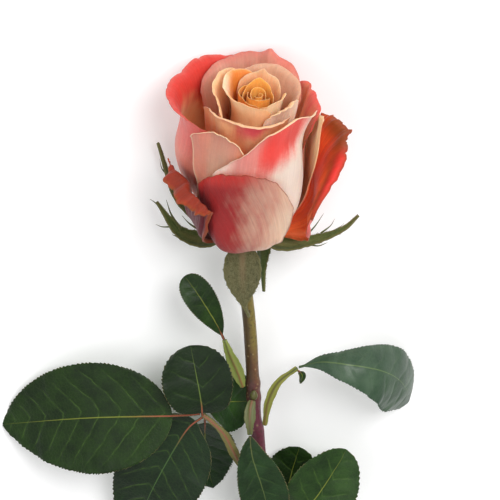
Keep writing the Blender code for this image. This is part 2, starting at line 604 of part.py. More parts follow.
def build_stem():
    to_world = flower_to_world()
    rings = [ring_about((0, 0, z), r) for z, r in HIP]
    path = spline(STEM_PATH, 46)[1:]
    for point in path:
        swell = sum(math.exp(-((point[2] - z) / 2.2) ** 2) for z in KNOTS)
        radius = STEM_RADIUS + 0.45 * swell
        cut = 1.6 if point is path[-1] else 0.0
        rings.append(ring_about(point, radius, shear=cut))
    rings = [moved(to_world, ring) for ring in rings]
    rings = rings[::-1]
    stem = tube("stem", rings, (0.10, 0.06, 0.02))
    rng = np.random.default_rng(SEED)
    thorns = bpy.data.collections.new("thorns")
    bpy.context.scene.collection.children.link(thorns)
    build_bud(thorns, to_world)
    for number in range(PRICKLES):
        along = (number + 0.5 + rng.uniform(-0.3, 0.3)) / PRICKLES
        z = -28.0 - along * 190.0
        angle = rng.uniform(0, 2 * math.pi)
        size = rng.uniform(0.5, 0.8) if z > -120 else rng.uniform(1.2, 2.2)
        build_prickle(number, path, z, angle, size, thorns, to_world)
    union = stem.modifiers.new("thorns", "BOOLEAN")
    union.operation = "UNION"
    union.solver = "EXACT"
    union.operand_type = "COLLECTION"
    union.collection = thorns
    graph = bpy.context.evaluated_depsgraph_get()
    joined = bpy.data.meshes.new_from_object(stem.evaluated_get(graph))
    stem.modifiers.clear()
    stem.data = joined
    for obj in list(thorns.objects):
        bpy.data.objects.remove(obj)
    bpy.data.collections.remove(thorns)


def build_bud(collection, to_world):
    """The small bud between the stem and the front leaf's stalk."""
    points = np.array([ring_about((3.9, -2.9, z), r, sides=7) for z, r in
                       ((-66.2, 0.5), (-65.4, 1.3), (-64.2, 1.4), (-63.0, 0.9), (-62.3, 0.3))])
    bud = tube("bud", [moved(to_world, ring) for ring in points][::-1], (0.3, 0.3, 0.1))
    bpy.context.scene.collection.objects.unlink(bud)
    collection.objects.link(bud)


def build_prickle(number, path, z, angle, size, collection, to_world):
    x = np.interp(-z, -path[:, 2], path[:, 0])
    y = np.interp(-z, -path[:, 2], path[:, 1])
    out = Vector((math.cos(angle), math.sin(angle), 0))
    foot = Vector((x, y, z)) + out * (STEM_RADIUS - 0.5)
    tip = Vector((x, y, z - size * 0.5)) + out * (STEM_RADIUS + size)
    across_it = Vector((-math.sin(angle), math.cos(angle), 0))
    up = Vector((0, 0, 1))
    wide = 0.3 + size * 0.2
    tall = 0.4 + size * 0.5
    base = [foot + across_it * wide, foot + up * tall, foot - across_it * wide, foot - up * tall]
    points = moved(to_world, np.array([tuple(p) for p in base + [tip]]))
    faces = [(3, 2, 1, 0), (0, 1, 4), (1, 2, 4), (2, 3, 4), (3, 0, 4)]
    obj = mesh_object(f"thorn_{number}", points / 1000, faces, (0.3, 0.1, 0.05))
    bpy.context.scene.collection.objects.unlink(obj)
    collection.objects.link(obj)


def main():
    clear_scene()
    build_petals()
    build_sepals()
    build_stem()
    build_leaves()


main()
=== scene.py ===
"""Looks of a cut rose that lies on its back: thin waved petals, veined leaves, downy sepals, a prickly stem.

Shapes are worked out in millimetres in the upright flower's own frame, whose origin is the foot of the
bloom: +Z runs up the stem, -Y is the flower's front and +X its right. They are then laid on the table as
the solids are.
"""

import logging
import math
from dataclasses import dataclass, field, replace
from enum import Enum

import bpy
import numpy as np
from bpy.types import Material, Node, NodeSocket, NodeTree, Object
from mathutils import Matrix, Vector


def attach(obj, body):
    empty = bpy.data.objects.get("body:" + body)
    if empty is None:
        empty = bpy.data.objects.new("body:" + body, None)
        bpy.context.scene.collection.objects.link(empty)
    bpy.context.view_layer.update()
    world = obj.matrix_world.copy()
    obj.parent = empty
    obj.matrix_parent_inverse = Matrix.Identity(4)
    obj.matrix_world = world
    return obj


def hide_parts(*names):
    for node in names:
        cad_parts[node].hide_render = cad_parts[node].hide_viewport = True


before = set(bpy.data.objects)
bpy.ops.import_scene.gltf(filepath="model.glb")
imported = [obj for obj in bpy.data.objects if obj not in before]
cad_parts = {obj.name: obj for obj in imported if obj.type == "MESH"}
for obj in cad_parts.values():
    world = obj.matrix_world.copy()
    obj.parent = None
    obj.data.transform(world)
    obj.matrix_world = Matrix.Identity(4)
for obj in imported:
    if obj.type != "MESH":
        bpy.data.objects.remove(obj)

log = logging.getLogger("rose")
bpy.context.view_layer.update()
BODY = "root"
Array = np.ndarray
Wire = NodeSocket
Triple = tuple[float, float, float]
Pair = tuple[float, float]
Line = tuple[Triple, ...]
Colour = Triple


def linear(value: int) -> float:
    """A display value of 0 to 255 as a share of full light."""
    share = value / 255
    return share / 12.92 if share <= 0.04045 else ((share + 0.055) / 1.055) ** 2.4


def ink(red: int, green: int, blue: int) -> Colour:
    """A colour from display values of 0 to 255, as the shaders take it."""
    return (linear(red), linear(green), linear(blue))


@dataclass(frozen=True)
class Pose:
    """How the flower lies, with the values that its solids were made with."""

    nod: float = 10.0  # degrees the bloom nods to the front
    lean: float = 4.7  # degrees the bloom leans to the right
    slope: float = 3.98  # degrees the stem rises from its cut end to the bloom
    bloom_height: float = 18.3  # mm from the table to the foot of the bloom
    shift: Pair = (12.85, 79.25)  # mm that centre the flower over the origin

    def bloom_to_flower(self) -> Matrix:
        """Turns the bloom's own frame to the flower's."""
        nod = Matrix.Rotation(math.radians(self.nod), 4, "X")
        return nod @ Matrix.Rotation(math.radians(self.lean), 4, "Y")

    def flower_to_world(self) -> Matrix:
        """Lays the upright flower on the table, in millimetres."""
        move = Matrix.Translation((self.shift[0], self.shift[1], self.bloom_height))
        return move @ Matrix.Rotation(math.radians(self.slope - 90), 4, "X")


POSE = Pose()
PETAL_THICK = 0.65  # mm, of the solids, which sets how far apart the petals lie
PETAL_GAP = 0.45  # mm, the least between two petals
PETALS_RISE = 2.5  # mm from the foot of the bloom to the lowest petals
CELLS = 360  # cells round the bloom in the table of its layers
TOP = 84  # cells up it, one for each mm
BOWL_END = 0.38  # share of a petal's length where its round lower part ends
SWING = 1.15  # how strongly its ends' slopes shape its upper part
WAVES = 3.0  # how closely the waves of its margin follow each other


@dataclass
class Petal:
    """One petal, by its rim and its belly. Triples hold the left corner, the middle, the right corner."""

    name: str
    az: float  # degrees round the bloom, 0 at the front, positive to the right
    span: float  # half of its width, in degrees
    rim_z: Triple  # mm up
    rim_r: Triple  # mm from the bloom's axis
    belly: Pair  # radius and height, mm
    lip: Triple = (20, 20, 20)  # degrees that the rim leans out
    flap: Triple = (1.0, 2.0, 1.0)  # mm of margin that turns further
    turn: Triple = (20, 25, 20)  # degrees that it turns
    root: float = 5.0  # mm from the axis
    base: float = 0.0  # mm up
    bowl: float = 0.35  # how round the lower part is
    waist: float = 0.3  # width at the root, as a share
    widest: float = 0.8  # share of its length where it is widest
    tip: float = 0.0  # mm that a point stands above the rim
    tip_at: float = 0.0  # across the rim, -1 to 1
    tip_width: float = 0.2
    wave: float = 0.3  # mm, how high the waves of its margin are
    sharp: float = 2.2  # how far out the rim turns down to its corners
    clear: float = 0.0  # mm more between it and the petals inside it
    pinch: float = 0.0  # how much less its belly bulges at its sides
    peel: float = 0.0  # mm that its left margin stands further out
    corner: float = 0.0  # degrees that its top right corner reaches past its side


EVEN = (0.3, 0.3, 0.3)  # the flap of a petal in the tight heart
PETALS = [
    Petal("petal_core_1", 40, 150, (65.5, 66.5, 65.5), (1.2, 1.5, 1.8), (3.0, 30), (0, 0, 0), EVEN,
          root=1.0, base=5, wave=0.05),
    Petal("petal_core_2", 200, 130, (65.5, 67.5, 66), (2.2, 2.6, 3.0), (4.2, 30), (0, 0, 0), EVEN,
          root=1.2, base=5, wave=0.1),
    Petal("petal_core_3", -20, 120, (65.5, 67, 65.5), (3.4, 3.8, 4.0), (5.2, 30), (0, 5, 5), EVEN,
          root=1.6, base=5, wave=0.1),
    Petal("petal_core_4", 175, 105, (64.5, 70, 64.5), (4.6, 5.0, 5.0), (6.2, 30), (5, 5, 5), EVEN,
          root=1.9, base=4.6, wave=0.15, sharp=1.3),
    Petal("petal_core_5", -60, 105, (66, 66.5, 64), (5.4, 6.2, 6.2), (7.4, 30), (10, 15, 10), EVEN,
          root=2.0, base=4, wave=0.15),
    Petal("petal_heart_back", 173, 66, (65.5, 67.5, 65), (9.0, 9.0, 9.0), (9.5, 30), (20, 25, 20),
          root=2.4, base=4, wave=0.15, tip=1.8, tip_at=-0.05, tip_width=0.12),
    Petal("petal_heart_right", 50, 62, (65, 68.5, 65.5), (8.0, 9.0, 9.0), (10.5, 30), (0, 10, 15),
          root=2.6, base=3, wave=0.15),
    Petal("petal_heart_left", -75, 104, (68, 70, 68), (10, 11.8, 10.4), (11.5, 30), (20, 25, 8),
          root=2.8, base=3, wave=0.15),
    Petal("petal_ring_back", 150, 75, (63, 67, 61), (13, 15.5, 15), (14, 30), (25, 30, 20),
          root=3.0, base=3, wave=0.2),
    Petal("petal_ring_right", 45, 35, (65, 68, 69), (12.0, 13.0, 13), (15.0, 30), (20, 30, 25),
          root=3.2, base=2, wave=0.2),
    Petal("petal_ring_left", -100, 62, (64, 68, 61), (16.0, 15.2, 16.0), (15.5, 30), (30, 20, 10),
          root=3.4, base=2, wave=0.2),
    Petal("petal_front_blush", -15, 70, (63, 64.6, 67), (19.5, 16.2, 15.0), (17.0, 30), (10, 15, 20),
          (1, 3, 2), (40, 60, 40), root=3.6, base=2, wave=0.25),
    Petal("petal_back", 181, 56, (55.5, 61, 56), (20, 25.5, 24.5), (18.5, 32), (30, 35, 25),
          (3, 4, 2), (30, 40, 30), root=4.0, base=2, wave=0.5, tip=3.5, tip_at=-0.2, tip_width=0.1),
    Petal("petal_right_cup", 112, 38, (57, 60, 56), (21, 21.5, 20.5), (19.0, 30), (20, 30, 20),
          root=4.2, base=1),
    Petal("petal_left_cup", -113, 58, (60, 60, 58), (27, 29.4, 14), (28.5, 38), (30, 35, 25),
          (3, 4, 1.5), (30, 50, 20), root=4.4, base=1, wave=0.5, sharp=4.5, pinch=0.3, clear=0.5),
    Petal("petal_under_front", 2, 50, (50, 52, 50), (19.5, 19.5, 20), (19.5, 26), (5, 5, 5),
          root=4.6, base=1, wave=0.2),
    Petal("petal_front_left", -34, 32, (56.5, 60, 52), (21.6, 20.6, 20.2), (20.6, 26), (10, 10, 5),
          (1, 1, 1), root=4.6, base=0.8, bowl=0.35, waist=0.6, widest=0.65, wave=0.1),
    Petal("petal_front_right", 11, 52, (44.5, 63, 68.5), (21, 20.6, 22.5), (21.4, 26), (0, 10, 25),
          (1, 3, 2), (10, 40, 40), root=4.6, base=1.2, bowl=0.3, waist=0.5, widest=0.6, clear=0.4,
          sharp=1.1, tip=4.0, tip_at=0.42, tip_width=0.35, corner=15),
    Petal("petal_guard_right_inner", 104, 40, (67.5, 55, 48), (20.5, 21.5, 23), (21, 26), (5, 5, 5),
          (1, 1, 1), root=4.6, bowl=0.5, waist=0.6, wave=0.1, sharp=1.5, peel=5.5, clear=0.3),
    Petal("petal_guard_back", 178, 52, (42, 46, 42), (26, 26, 26), (22.5, 22), (30, 40, 30),
          (4, 6, 4), (40, 60, 40), root=4.6, bowl=0.6, wave=0.5),
    Petal("petal_guard_front", -5, 50, (37, 48, 30), (24.0, 23.5, 22.5), (22.0, 22), (15, -10, 0),
          (1, 1, 1), root=4.6, base=5.0, bowl=0.25, waist=0.6, wave=0.4),
    Petal("petal_guard_left", -60, 31, (35, 33, 30), (25, 24.5, 22.5), (22.5, 18), (60, 60, 60),
          (6, 9, 9), (60, 80, 90), root=4.6, bowl=0.4, waist=0.5, wave=0.8, clear=1.1),
    Petal("petal_guard_right", 93, 34, (17, 47.5, 45), (26.5, 31.5, 28), (24.5, 20), (50, 40, 50),
          (2, 4, 4), (20, 40, 40), root=4.6, base=0.4, clear=0.3, bowl=0.6, wave=0.9),
]


@dataclass
class Blade:
    """A leaflet or a leaf along its midrib, in mm in the upright frame."""

    name: str
    path: Line  # points of the midrib
    face: Triple | Line  # the way its upper side looks, once or at several places
    half_width: float
    stalk: float = 0.06  # share of the length that is bare stalk
    low: float = 0.55  # power of the outline at the foot
    high: float = 0.75  # power of the outline at the tip
    fold: float = 0.25  # rise of the margin over the midrib, as a share of the width
    toothed: bool = True


LEAFLETS = [
    Blade("leaf_upper_blade", ((-6.9, -3.9, -40.2), (-10.0, -5.5, -32.0), (-16.0, -4.5, -21.5),
          (-21.0, -1.0, -15.5)), (0.2, -0.95, 0.2), 5.6, stalk=0.05, low=1.0, high=0.45),
    Blade("leaf_front_blade", ((2.5, -9.4, -77.5), (3.4, -12.0, -85.0), (7.2, -13.5, -98.0),
          (10.5, -12.5, -113.0)), (0.1, -0.95, 0.2), 8.8, stalk=0.0, low=0.85, high=0.6, fold=0.3),
    Blade("leaf_left_terminal", ((-15.6, -7.2, -69.6), (-24.5, -8.5, -69.6), (-56, -4.0, -73.2),
          (-87.5, 12.0, -85.4)), (0.0, -0.93, 0.36), 20.5, stalk=0.13, fold=0.08),
    Blade("leaf_left_upper", ((-14.7, -8.5, -69.5), (-15.5, -10.5, -60.0), (-19.0, -5.0, -42.2)),
          (0.0, -0.93, 0.36), 12.8, stalk=0.05, low=0.5, high=0.45),
    Blade("leaf_left_lower", ((-14.6, -6.2, -71.4), (-21.5, -4.0, -80.0), (-34.0, -2.0, -107.0),
          (-37.0, 5.0, -125.0)), (-0.1, -0.95, 0.2), 16.4, stalk=0.06, fold=0.12),
    Blade("leaf_left_behind_up", ((-13.9, -5.1, -69.7), (-8.0, 1.0, -69.9), (0.0, 6.8, -72.6),
          (3.4, 8.4, -73.6)), (0.0, -0.95, 0.3), 11.2, stalk=0.08, high=0.5, fold=0.1),
    Blade("leaf_left_behind_down", ((-13.8, -5.0, -72.0), (-13.8, 4.6, -88.0), (-12.8, 9.0, -101.0),
          (-11.0, 10.4, -111.5)), (0.0, -0.97, 0.2), 11.0, stalk=0.12, fold=0.1),
    Blade("leaf_right_blade", ((20.15, -8.3, -49.25), (28.4, -10.5, -45.9), (38.5, -12.0, -46.2),
          (48.6, -10.3, -49.2), (55.4, -5.0, -55.6), (59.4, 1.5, -64.6), (60.1, 8.0, -73.6)),
          ((0.0, -0.66, 0.75), (0.1, -0.7, 0.7), (0.35, -0.75, 0.55), (0.5, -0.7, 0.45)), 11.6,
          stalk=0.01, low=1.15, high=0.5, fold=-0.35),
    Blade("leaf_right_leaflet", ((19.9, -9.8, -49.9), (21.3, -11.5, -50.8), (20.9, -11.6, -54.2)),
          (0.6, -0.7, 0.2), 1.5, stalk=0.1, toothed=False),
    Blade("leaf_low_right", ((15.1, -4.6, -117.6), (25.0, -9.0, -106.0), (34.0, -7.0, -92.0),
          (37.5, -5.0, -86.0)), (0.1, -0.95, 0.25), 12.5, stalk=0.05, high=0.55),
    Blade("leaf_low_behind", ((14.8, -2.9, -117.0), (17.0, 5.0, -105.0), (20.5, 7.6, -92.5)),
          (0.0, -0.95, 0.25), 9.5, stalk=0.12, high=0.5, fold=0.1),
    Blade("leaf_low_left", ((13.7, -6.1, -118.6), (3.0, -9.5, -116.0), (-8.0, -11.0, -109.0),
          (-11.0, -10.5, -105.0)), (-0.1, -0.95, 0.2), 9.0, stalk=0.06, high=0.5),
    Blade("leaf_low_terminal", ((15.5, -4.9, -119.9), (22.0, -6.0, -133.0), (34.0, 0.0, -150.0),
          (42.0, 6.9, -162.0)), (0.1, -0.97, 0.2), 15.0, stalk=0.08),
]


@dataclass
class Stalk:
    """A leaf stalk, with or without wings, in mm in the upright frame."""

    name: str
    path: Line
    face: Triple
    wings: tuple[float, ...]  # half widths along it
    thick: float = 1.5


STALKS = [
    Stalk("stalk_upper", ((-0.1, -0.8, -61.8), (-1.9, -2.4, -55.0), (-4.6, -3.2, -47.5), (-6.7, -3.7, -40.7)),
          (0.0, -0.95, 0.1), (0.9, 2.2, 2.4, 1.6, 0.8)),
    Stalk("stalk_front", ((3.3, -3.9, -66.0), (2.6, -6.2, -68.5), (2.4, -8.6, -73.0), (2.5, -9.3, -77.0)),
          (0.0, -0.8, 0.6), (1.2, 1.9, 2.2, 1.3, 0.8)),
    Stalk("stalk_left", ((2.6, -1.2, -98.6), (-1.5, -4.2, -91.5), (-6.5, -6.0, -79.5), (-11.0, -6.6, -73.6),
          (-14.6, -6.8, -70.0)), (0.0, -0.95, 0.3), (1.0, 1.3, 1.8, 1.6, 0.9, 0.8)),
    Stalk("stalk_right", ((7.9, -2.2, -77.0), (9.2, -4.8, -66.5), (12.8, -6.9, -56.6),
          (19.4, -8.2, -49.8)), (-0.3, -0.9, 0.3), (0.7, 1.2, 1.6, 1.6, 1.0, 0.8)),
    Stalk("stalk_low", ((9.4, -2.8, -134.0), (11.0, -5.2, -127.0), (14.4, -4.4, -118.4)),
          (0.1, -0.95, 0.3), (1.1, 1.7, 1.4, 0.9)),
]


@dataclass
class Sepal:
    """A sepal along its keel, in mm in the upright frame."""

    name: str
    path: Line
    face: Line
    widths: tuple[float, ...]  # half widths along it, mm
    fold: float = 0.25


SEPALS = [
    Sepal("sepal_front", ((0.0, -6.4, 0.5), (-0.2, -9.0, -4.5), (-0.1, -8.2, -14.0), (0.4, -6.4, -24.0),
          (2.1, -5.2, -30.0)), ((0, -0.3, 1.0), (0, -1, 0.1), (0, -1, 0.1), (0, -1, 0)),
          (3.2, 6.4, 6.9, 6.2, 4.6, 2.4, 0.5, 0.4)),
    Sepal("sepal_left", ((-6.3, 0.2, 0.5), (-14.0, 0.0, -1.4), (-23.0, 1.0, 1.8), (-31.0, 3.5, 12.8)),
          ((-0.3, -0.1, 1.0), (0.0, -0.5, 0.9), (0.3, -0.8, 0.3)),
          (3.0, 4.2, 4.0, 3.0, 2.2, 1.4, 0.8, 0.4)),
    Sepal("sepal_back_left", ((-3.7, 5.0, 0.5), (-12.0, 11.0, -1.5), (-24.0, 14.0, 9.0),
          (-30.5, 12.5, 32.0)), ((-0.3, 0.3, 1.0), (0.4, -0.5, 0.7), (0.6, -0.7, 0.2)),
          (3.0, 3.6, 3.0, 2.2, 1.6, 1.0, 0.7, 0.4)),
    Sepal("sepal_back_right", ((3.8, 5.0, 0.5), (6.6, 9.0, -3.5), (7.0, 9.4, -15.0), (7.6, 8.0, -27.0)),
          ((0.3, 0.4, 1.0), (0.5, 0.8, 0.1)), (3.0, 4.0, 4.0, 3.2, 2.2, 1.2, 0.7, 0.4)),
    Sepal("sepal_right", ((6.1, -1.0, 0.5), (14.0, -2.6, -1.6), (26.0, -0.6, -0.6), (36.0, 1.0, 3.0),
          (41.5, 2.0, 8.0)), ((0.3, -0.1, 1.0), (0.0, -0.5, 0.9), (-0.3, -0.8, 0.3)),
          (3.0, 4.0, 3.4, 2.4, 1.8, 1.2, 0.8, 0.4)),
]

# Height and radius down the hip, mm
HIP = ((6.9, 0.4), (5.6, 1.3), (4.4, 2.3), (3.5, 3.1), (2.5, 3.9), (2.0, 4.2), (1.2, 5.1), (-0.2, 5.5),
       (-3.0, 5.3), (-6.6, 4.2), (-10.0, 3.1), (-13.0, 2.5))
# The stem's middle, from the hip to the cut
STEM_PATH = ((0.0, 0.0, -13.0), (2.4, 0.3, -37.0), (4.3, 0.0, -75.0), (5.6, -0.3, -85.0), (7.4, 0.0, -120.0),
             (8.2, 0.2, -170.0), (7.6, 0.0, -230.0))
KNOTS = (-61.0, -66.5, -79.0, -99.0, -135.0, -180.0)  # heights where a leaf grows or has grown


class Face(Enum):
    """Which face of a petal a patch of colour shows on."""

    OUTER = 0.0
    INNER = 1.0


class Layer(Enum):
    """Where a petal sits in the bloom."""

    INNER = "inner_petal"
    OUTER = "outer_petal"
    GUARD = "guard_petal"

    @classmethod
    def of(cls, petal: str) -> "Layer":
        """The layer that a petal's name places it in."""
        layers = {"core": cls.INNER, "heart": cls.INNER, "guard": cls.GUARD}
        return layers.get(petal.split("_")[1], cls.OUTER)


def smooth(x: Array) -> Array:
    """A soft step from 0 to 1."""
    x = np.clip(x, 0.0, 1.0)
    return x * x * (3 - 2 * x)


def across(three: Triple, u: Array, power: float) -> Array:
    """A value between the left corner's, the middle's and the right corner's."""
    left, right = np.clip(-u, 0, 1) ** power, np.clip(u, 0, 1) ** power
    return three[1] + (three[0] - three[1]) * left + (three[2] - three[1]) * right


def hermite(start: Array, end: Array, out: Array, home: Array, t: Array) -> Array:
    """A curve between two values with a slope at each end.

    Args:
        start: the first value.
        end: the last value.
        out: the slope at the start.
        home: the slope at the end.
        t: places along it, 0 to 1.

    Returns:
        The value at each place.
    """
    t2 = t * t
    t3 = t2 * t
    return ((2 * t3 - 3 * t2 + 1) * start + (t3 - 2 * t2 + t) * out
            + (3 * t2 - 2 * t3) * end + (t3 - t2) * home)


def waver(x: Array, seed: int, octaves: int = 3) -> Array:
    """A smooth seeded wobble between about -1 and 1, with a main wave for each unit of x.

    Args:
        x: where to read it.
        seed: sets the wobble.
        octaves: how many sizes of wave it has.

    Returns:
        The wobble at each x.
    """
    rng = np.random.default_rng(seed)
    total = 0.0 * x
    weight = 1.0
    for octave in range(octaves):
        rate = 2 ** octave * (0.85 + 0.3 * rng.random())
        total = total + weight * np.sin(2 * np.pi * (rate * x + rng.random()))
        weight *= 0.55
    return total / 1.6


def jagged(x: Array, seed: int) -> Array:
    """Straight runs between seeded heights from 0 to 1, about one for each unit of x.

    Args:
        x: where to read them.
        seed: sets the heights.

    Returns:
        The height at each x.
    """
    rng = np.random.default_rng(seed)
    knots = np.cumsum(rng.uniform(0.4, 1.6, 64)) - 32.0
    return np.interp(x, knots, rng.random(64) ** 1.5)


def folded_over(lip: Array, turn: Array, flap: Array, out: Array,
                steps: int = 12) -> tuple[Array, Array]:
    """How far out and up a flap has gone, with most of its turn near the fold.

    Args:
        lip: radians that the fold leans out.
        turn: radians that the flap turns further.
        flap: the flap's length, mm.
        out: share of the flap that is passed.
        steps: steps along it.

    Returns:
        How far out and how far up, mm.
    """
    gone_out = 0 * (lip + out)
    gone_up = 0 * gone_out
    for step in range(steps):
        along = out * (step + 0.5) / steps
        angle = lip + turn * (1 - (1 - along) ** 2)
        gone_out = gone_out + np.sin(angle) * flap * out / steps
        gone_up = gone_up + np.cos(angle) * flap * out / steps
    return gone_out, gone_up


def petal_surface(p: Petal, nu: int, nv: int) -> tuple[Array, Array, Array]:
    """The petal's middle surface as its solid has it.

    Args:
        p: the petal.
        nu: points across it.
        nv: points up it.

    Returns:
        Angle round the bloom in radians, radius and height in mm, each nu by nv.
    """
    u = np.linspace(-1, 1, nu)[:, None]
    v = np.linspace(0, 1, nv)[None, :]
    rim_z = across(p.rim_z, u, p.sharp) + p.tip * np.exp(-((u - p.tip_at) / p.tip_width) ** 2)
    rim_r = across(p.rim_r, u, p.sharp)
    lip = np.radians(across(p.lip, u, 2.0))
    flap = across(p.flap, u, 2.0)
    turn = np.radians(across(p.turn, u, 2.0))
    base = p.base + PETALS_RISE
    belly_r = p.belly[0] * (1 - p.pinch * u ** 2)
    belly_z = p.belly[1] * rim_z / p.rim_z[1]
    end = 1.0 - np.clip(flap / (rim_z + flap), 0.03, 0.4)
    low = np.pi / 2 * np.clip(v / BOWL_END, 0, 1)
    high = np.clip((v - BOWL_END) / (end - BOWL_END), 0, 1)
    out = np.clip((v - end) / (1.0001 - end), 0, 1)
    low_r = p.root + (belly_r - p.root) * np.sin(low)
    low_z = base + (belly_z - base) * (p.bowl * (1 - np.cos(low)) + (1 - p.bowl) * low * 2 / np.pi)
    rise = rim_z - belly_z
    high_r = hermite(belly_r, rim_r, 0.0, rise * SWING * np.sin(lip), high)
    high_z = hermite(belly_z, rim_z, rise, rise * SWING * np.cos(lip), high)
    gone_out, gone_up = folded_over(lip, turn, flap, out)
    r = np.where(v < BOWL_END, low_r, np.where(v < end, high_r, rim_r + gone_out))
    z = np.where(v < BOWL_END, low_z, np.where(v < end, high_z, rim_z + gone_up))
    wide = p.waist + (1 - p.waist) * np.sin(np.pi / 2 * np.clip(v / p.widest, 0, 1)) ** 1.1
    over = np.clip((v - p.widest) / (1.0001 - p.widest), 0, 1)
    phi = np.radians(p.az + p.span * u * wide * (1 - 0.05 * over ** 2))
    edge = smooth((v - 0.6) / 0.4)
    side = smooth((np.abs(u) - 0.5) / 0.5) * smooth(v / 0.8)
    r = r + p.peel * np.clip((-u - 0.3) / 0.7, 0, 1) ** 2 * smooth((v - 0.2) / 0.6)
    phi = phi + np.radians(p.corner) * np.clip(u, 0, 1) ** 3 * smooth((v - 0.8) / 0.2)
    ripple = np.sin(np.pi * WAVES * u) * edge
    ripple = ripple + 0.5 * np.sin(1.6 * np.pi * WAVES * v) * side * (1 - edge)
    r = r + p.wave * ripple
    z = z + 0.6 * p.wave * np.sin(np.pi * WAVES * 1.3 * u + 1) * edge
    return phi + 0 * r, np.maximum(r, 0.4), z


def finer(values: Array, times: int) -> Array:
    """The grid with more points between its own.

    Args:
        values: the grid.
        times: new steps for each old one.

    Returns:
        The finer grid.
    """
    n, m = values.shape
    more_n = np.linspace(0, n - 1, (n - 1) * times + 1)
    more_m = np.linspace(0, m - 1, (m - 1) * times + 1)
    wide = np.array([np.interp(more_m, np.arange(m), row) for row in values])
    return np.array([np.interp(more_n, np.arange(n), column) for column in wide.T]).T


class Layers:
    """How far out the petals reach so far, by angle and height, so that each petal lies outside the last."""

    def __init__(self) -> None:
        """Starts with no petals."""
        self.reach = np.zeros((CELLS, TOP))
        self.soft = self.reach

    def soften(self) -> None:
        """Widens and evens out the reach, never below what the petals take."""
        most = self.reach.copy()
        for shift in range(-4, 5):
            most = np.maximum(most, np.roll(self.reach, shift, 0))
        for start in (0, 35):
            up = np.pad(most, ((0, 0), (1, 1)), mode="edge")
            high = np.maximum(np.maximum(up[:, :-2], up[:, 2:]), most)
            most[:, start:] = high[:, start:]
        for _ in range(3):
            most = (np.roll(most, 2, 0) + most + np.roll(most, -2, 0)) / 3
            wide = np.pad(most, ((0, 0), (2, 2)), mode="edge")
            most = (wide[:, :-4] + wide[:, 2:-2] + wide[:, 4:]) / 3
        self.soft = np.maximum(most, self.reach)

    def taken(self, phi: Array, z: Array) -> Array:
        """The reach at these angles and heights.

        Args:
            phi: radians round the bloom.
            z: mm up it.

        Returns:
            Radii, mm.
        """
        angle = np.degrees(phi) % CELLS
        height = np.clip(z, 0, TOP - 1.001)
        i = np.floor(angle).astype(int) % CELLS
        k = np.floor(height).astype(int)
        a = angle - np.floor(angle)
        b = height - k
        j = (i + 1) % CELLS
        near = (1 - a) * self.soft[i, k] + a * self.soft[j, k]
        far = (1 - a) * self.soft[i, k + 1] + a * self.soft[j, k + 1]
        return (1 - b) * near + b * far

    def add(self, phi: Array, r: Array, z: Array) -> None:
        """Takes in one more petal.

        Args:
            phi: radians round the bloom.
            r: its radius, mm.
            z: mm up the bloom.
        """
        i = np.round(np.degrees(finer(phi, 3))).astype(int) % CELLS
        k = np.clip(np.round(finer(z, 3)), 0, TOP - 1).astype(int)
        np.maximum.at(self.reach, (i.ravel(), k.ravel()), finer(r, 3).ravel() + PETAL_THICK / 2)

    def clear_of(self, phi: Array, r: Array, z: Array, clear: float) -> Array:
        """The radius at which a petal clears the petals inside it.

        Args:
            phi: radians round the bloom.
            r: the radius it would have, mm.
            z: mm up the bloom.
            clear: mm more to leave free.

        Returns:
            Radii, mm.
        """
        self.soften()
        taken = self.taken(phi, z)
        need = np.where(taken > 0.01, taken + PETAL_GAP + clear + PETAL_THICK / 2, 0.0)
        least = np.maximum(need - r, 0.0)
        push = widened(widened(least))
        for _ in range(8):
            pad = np.pad(push, 1, mode="edge")
            ring = pad[:-2, 1:-1] + pad[2:, 1:-1] + pad[1:-1, :-2] + pad[1:-1, 2:]
            push = np.maximum((ring + 2 * push) / 6, least)
        return r + push


def widened(values: Array) -> Array:
    """The most within one step each way.

    Args:
        values: a grid.

    Returns:
        The grid, with each value as high as the ones beside it.
    """
    pad = np.pad(values, 1, mode="edge")
    beside = np.maximum(pad[:-2, 1:-1], pad[2:, 1:-1])
    above = np.maximum(pad[1:-1, :-2], pad[1:-1, 2:])
    return np.maximum(values, np.maximum(beside, above))


def moved(matrix: Matrix, points: Array) -> Array:
    """The points turned and shifted by a matrix."""
    m = np.array(matrix)
    return points @ m[:3, :3].T + m[:3, 3]


def normals_of(grid: Array) -> Array:
    """Unit normals of a grid of points."""
    n = np.cross(np.gradient(grid, axis=0), np.gradient(grid, axis=1))
    return n / np.maximum(np.linalg.norm(n, axis=2, keepdims=True), 1e-9)


def weights(at: Array, count: int) -> tuple[list[Array], list[Array]]:
    """The four points nearest to a place on a smooth curve, and what each is worth there.

    Args:
        at: places along one axis of a grid.
        count: points on that axis.

    Returns:
        The indices of the points, and their weights.
    """
    low = np.clip(np.floor(at).astype(int), 0, count - 2)
    t = at - low
    index = [np.clip(low + k, 0, count - 1) for k in (-1, 0, 1, 2)]
    worth = [0.5 * (-t + 2 * t ** 2 - t ** 3), 0.5 * (2 - 5 * t ** 2 + 3 * t ** 3),
             0.5 * (t + 4 * t ** 2 - 3 * t ** 3), 0.5 * (-t ** 2 + t ** 3)]
    return index, worth


def resampled(grid: Array, rows: Array, columns: Array) -> Array:
    """Reads a grid of points at fractional places along smooth curves.

    Args:
        grid: n by m points.
        rows: places along the first axis, 0 to n - 1.
        columns: places along the second axis, 0 to m - 1.

    Returns:
        Points in the shape of rows and columns.
    """
    row_index, row_worth = weights(rows, grid.shape[0])
    column_index, column_worth = weights(columns, grid.shape[1])
    total = np.zeros(rows.shape + (grid.shape[2],))
    for i, a in zip(row_index, row_worth):
        for j, b in zip(column_index, column_worth):
            total += grid[i, j] * (a * b)[..., None]
    return total


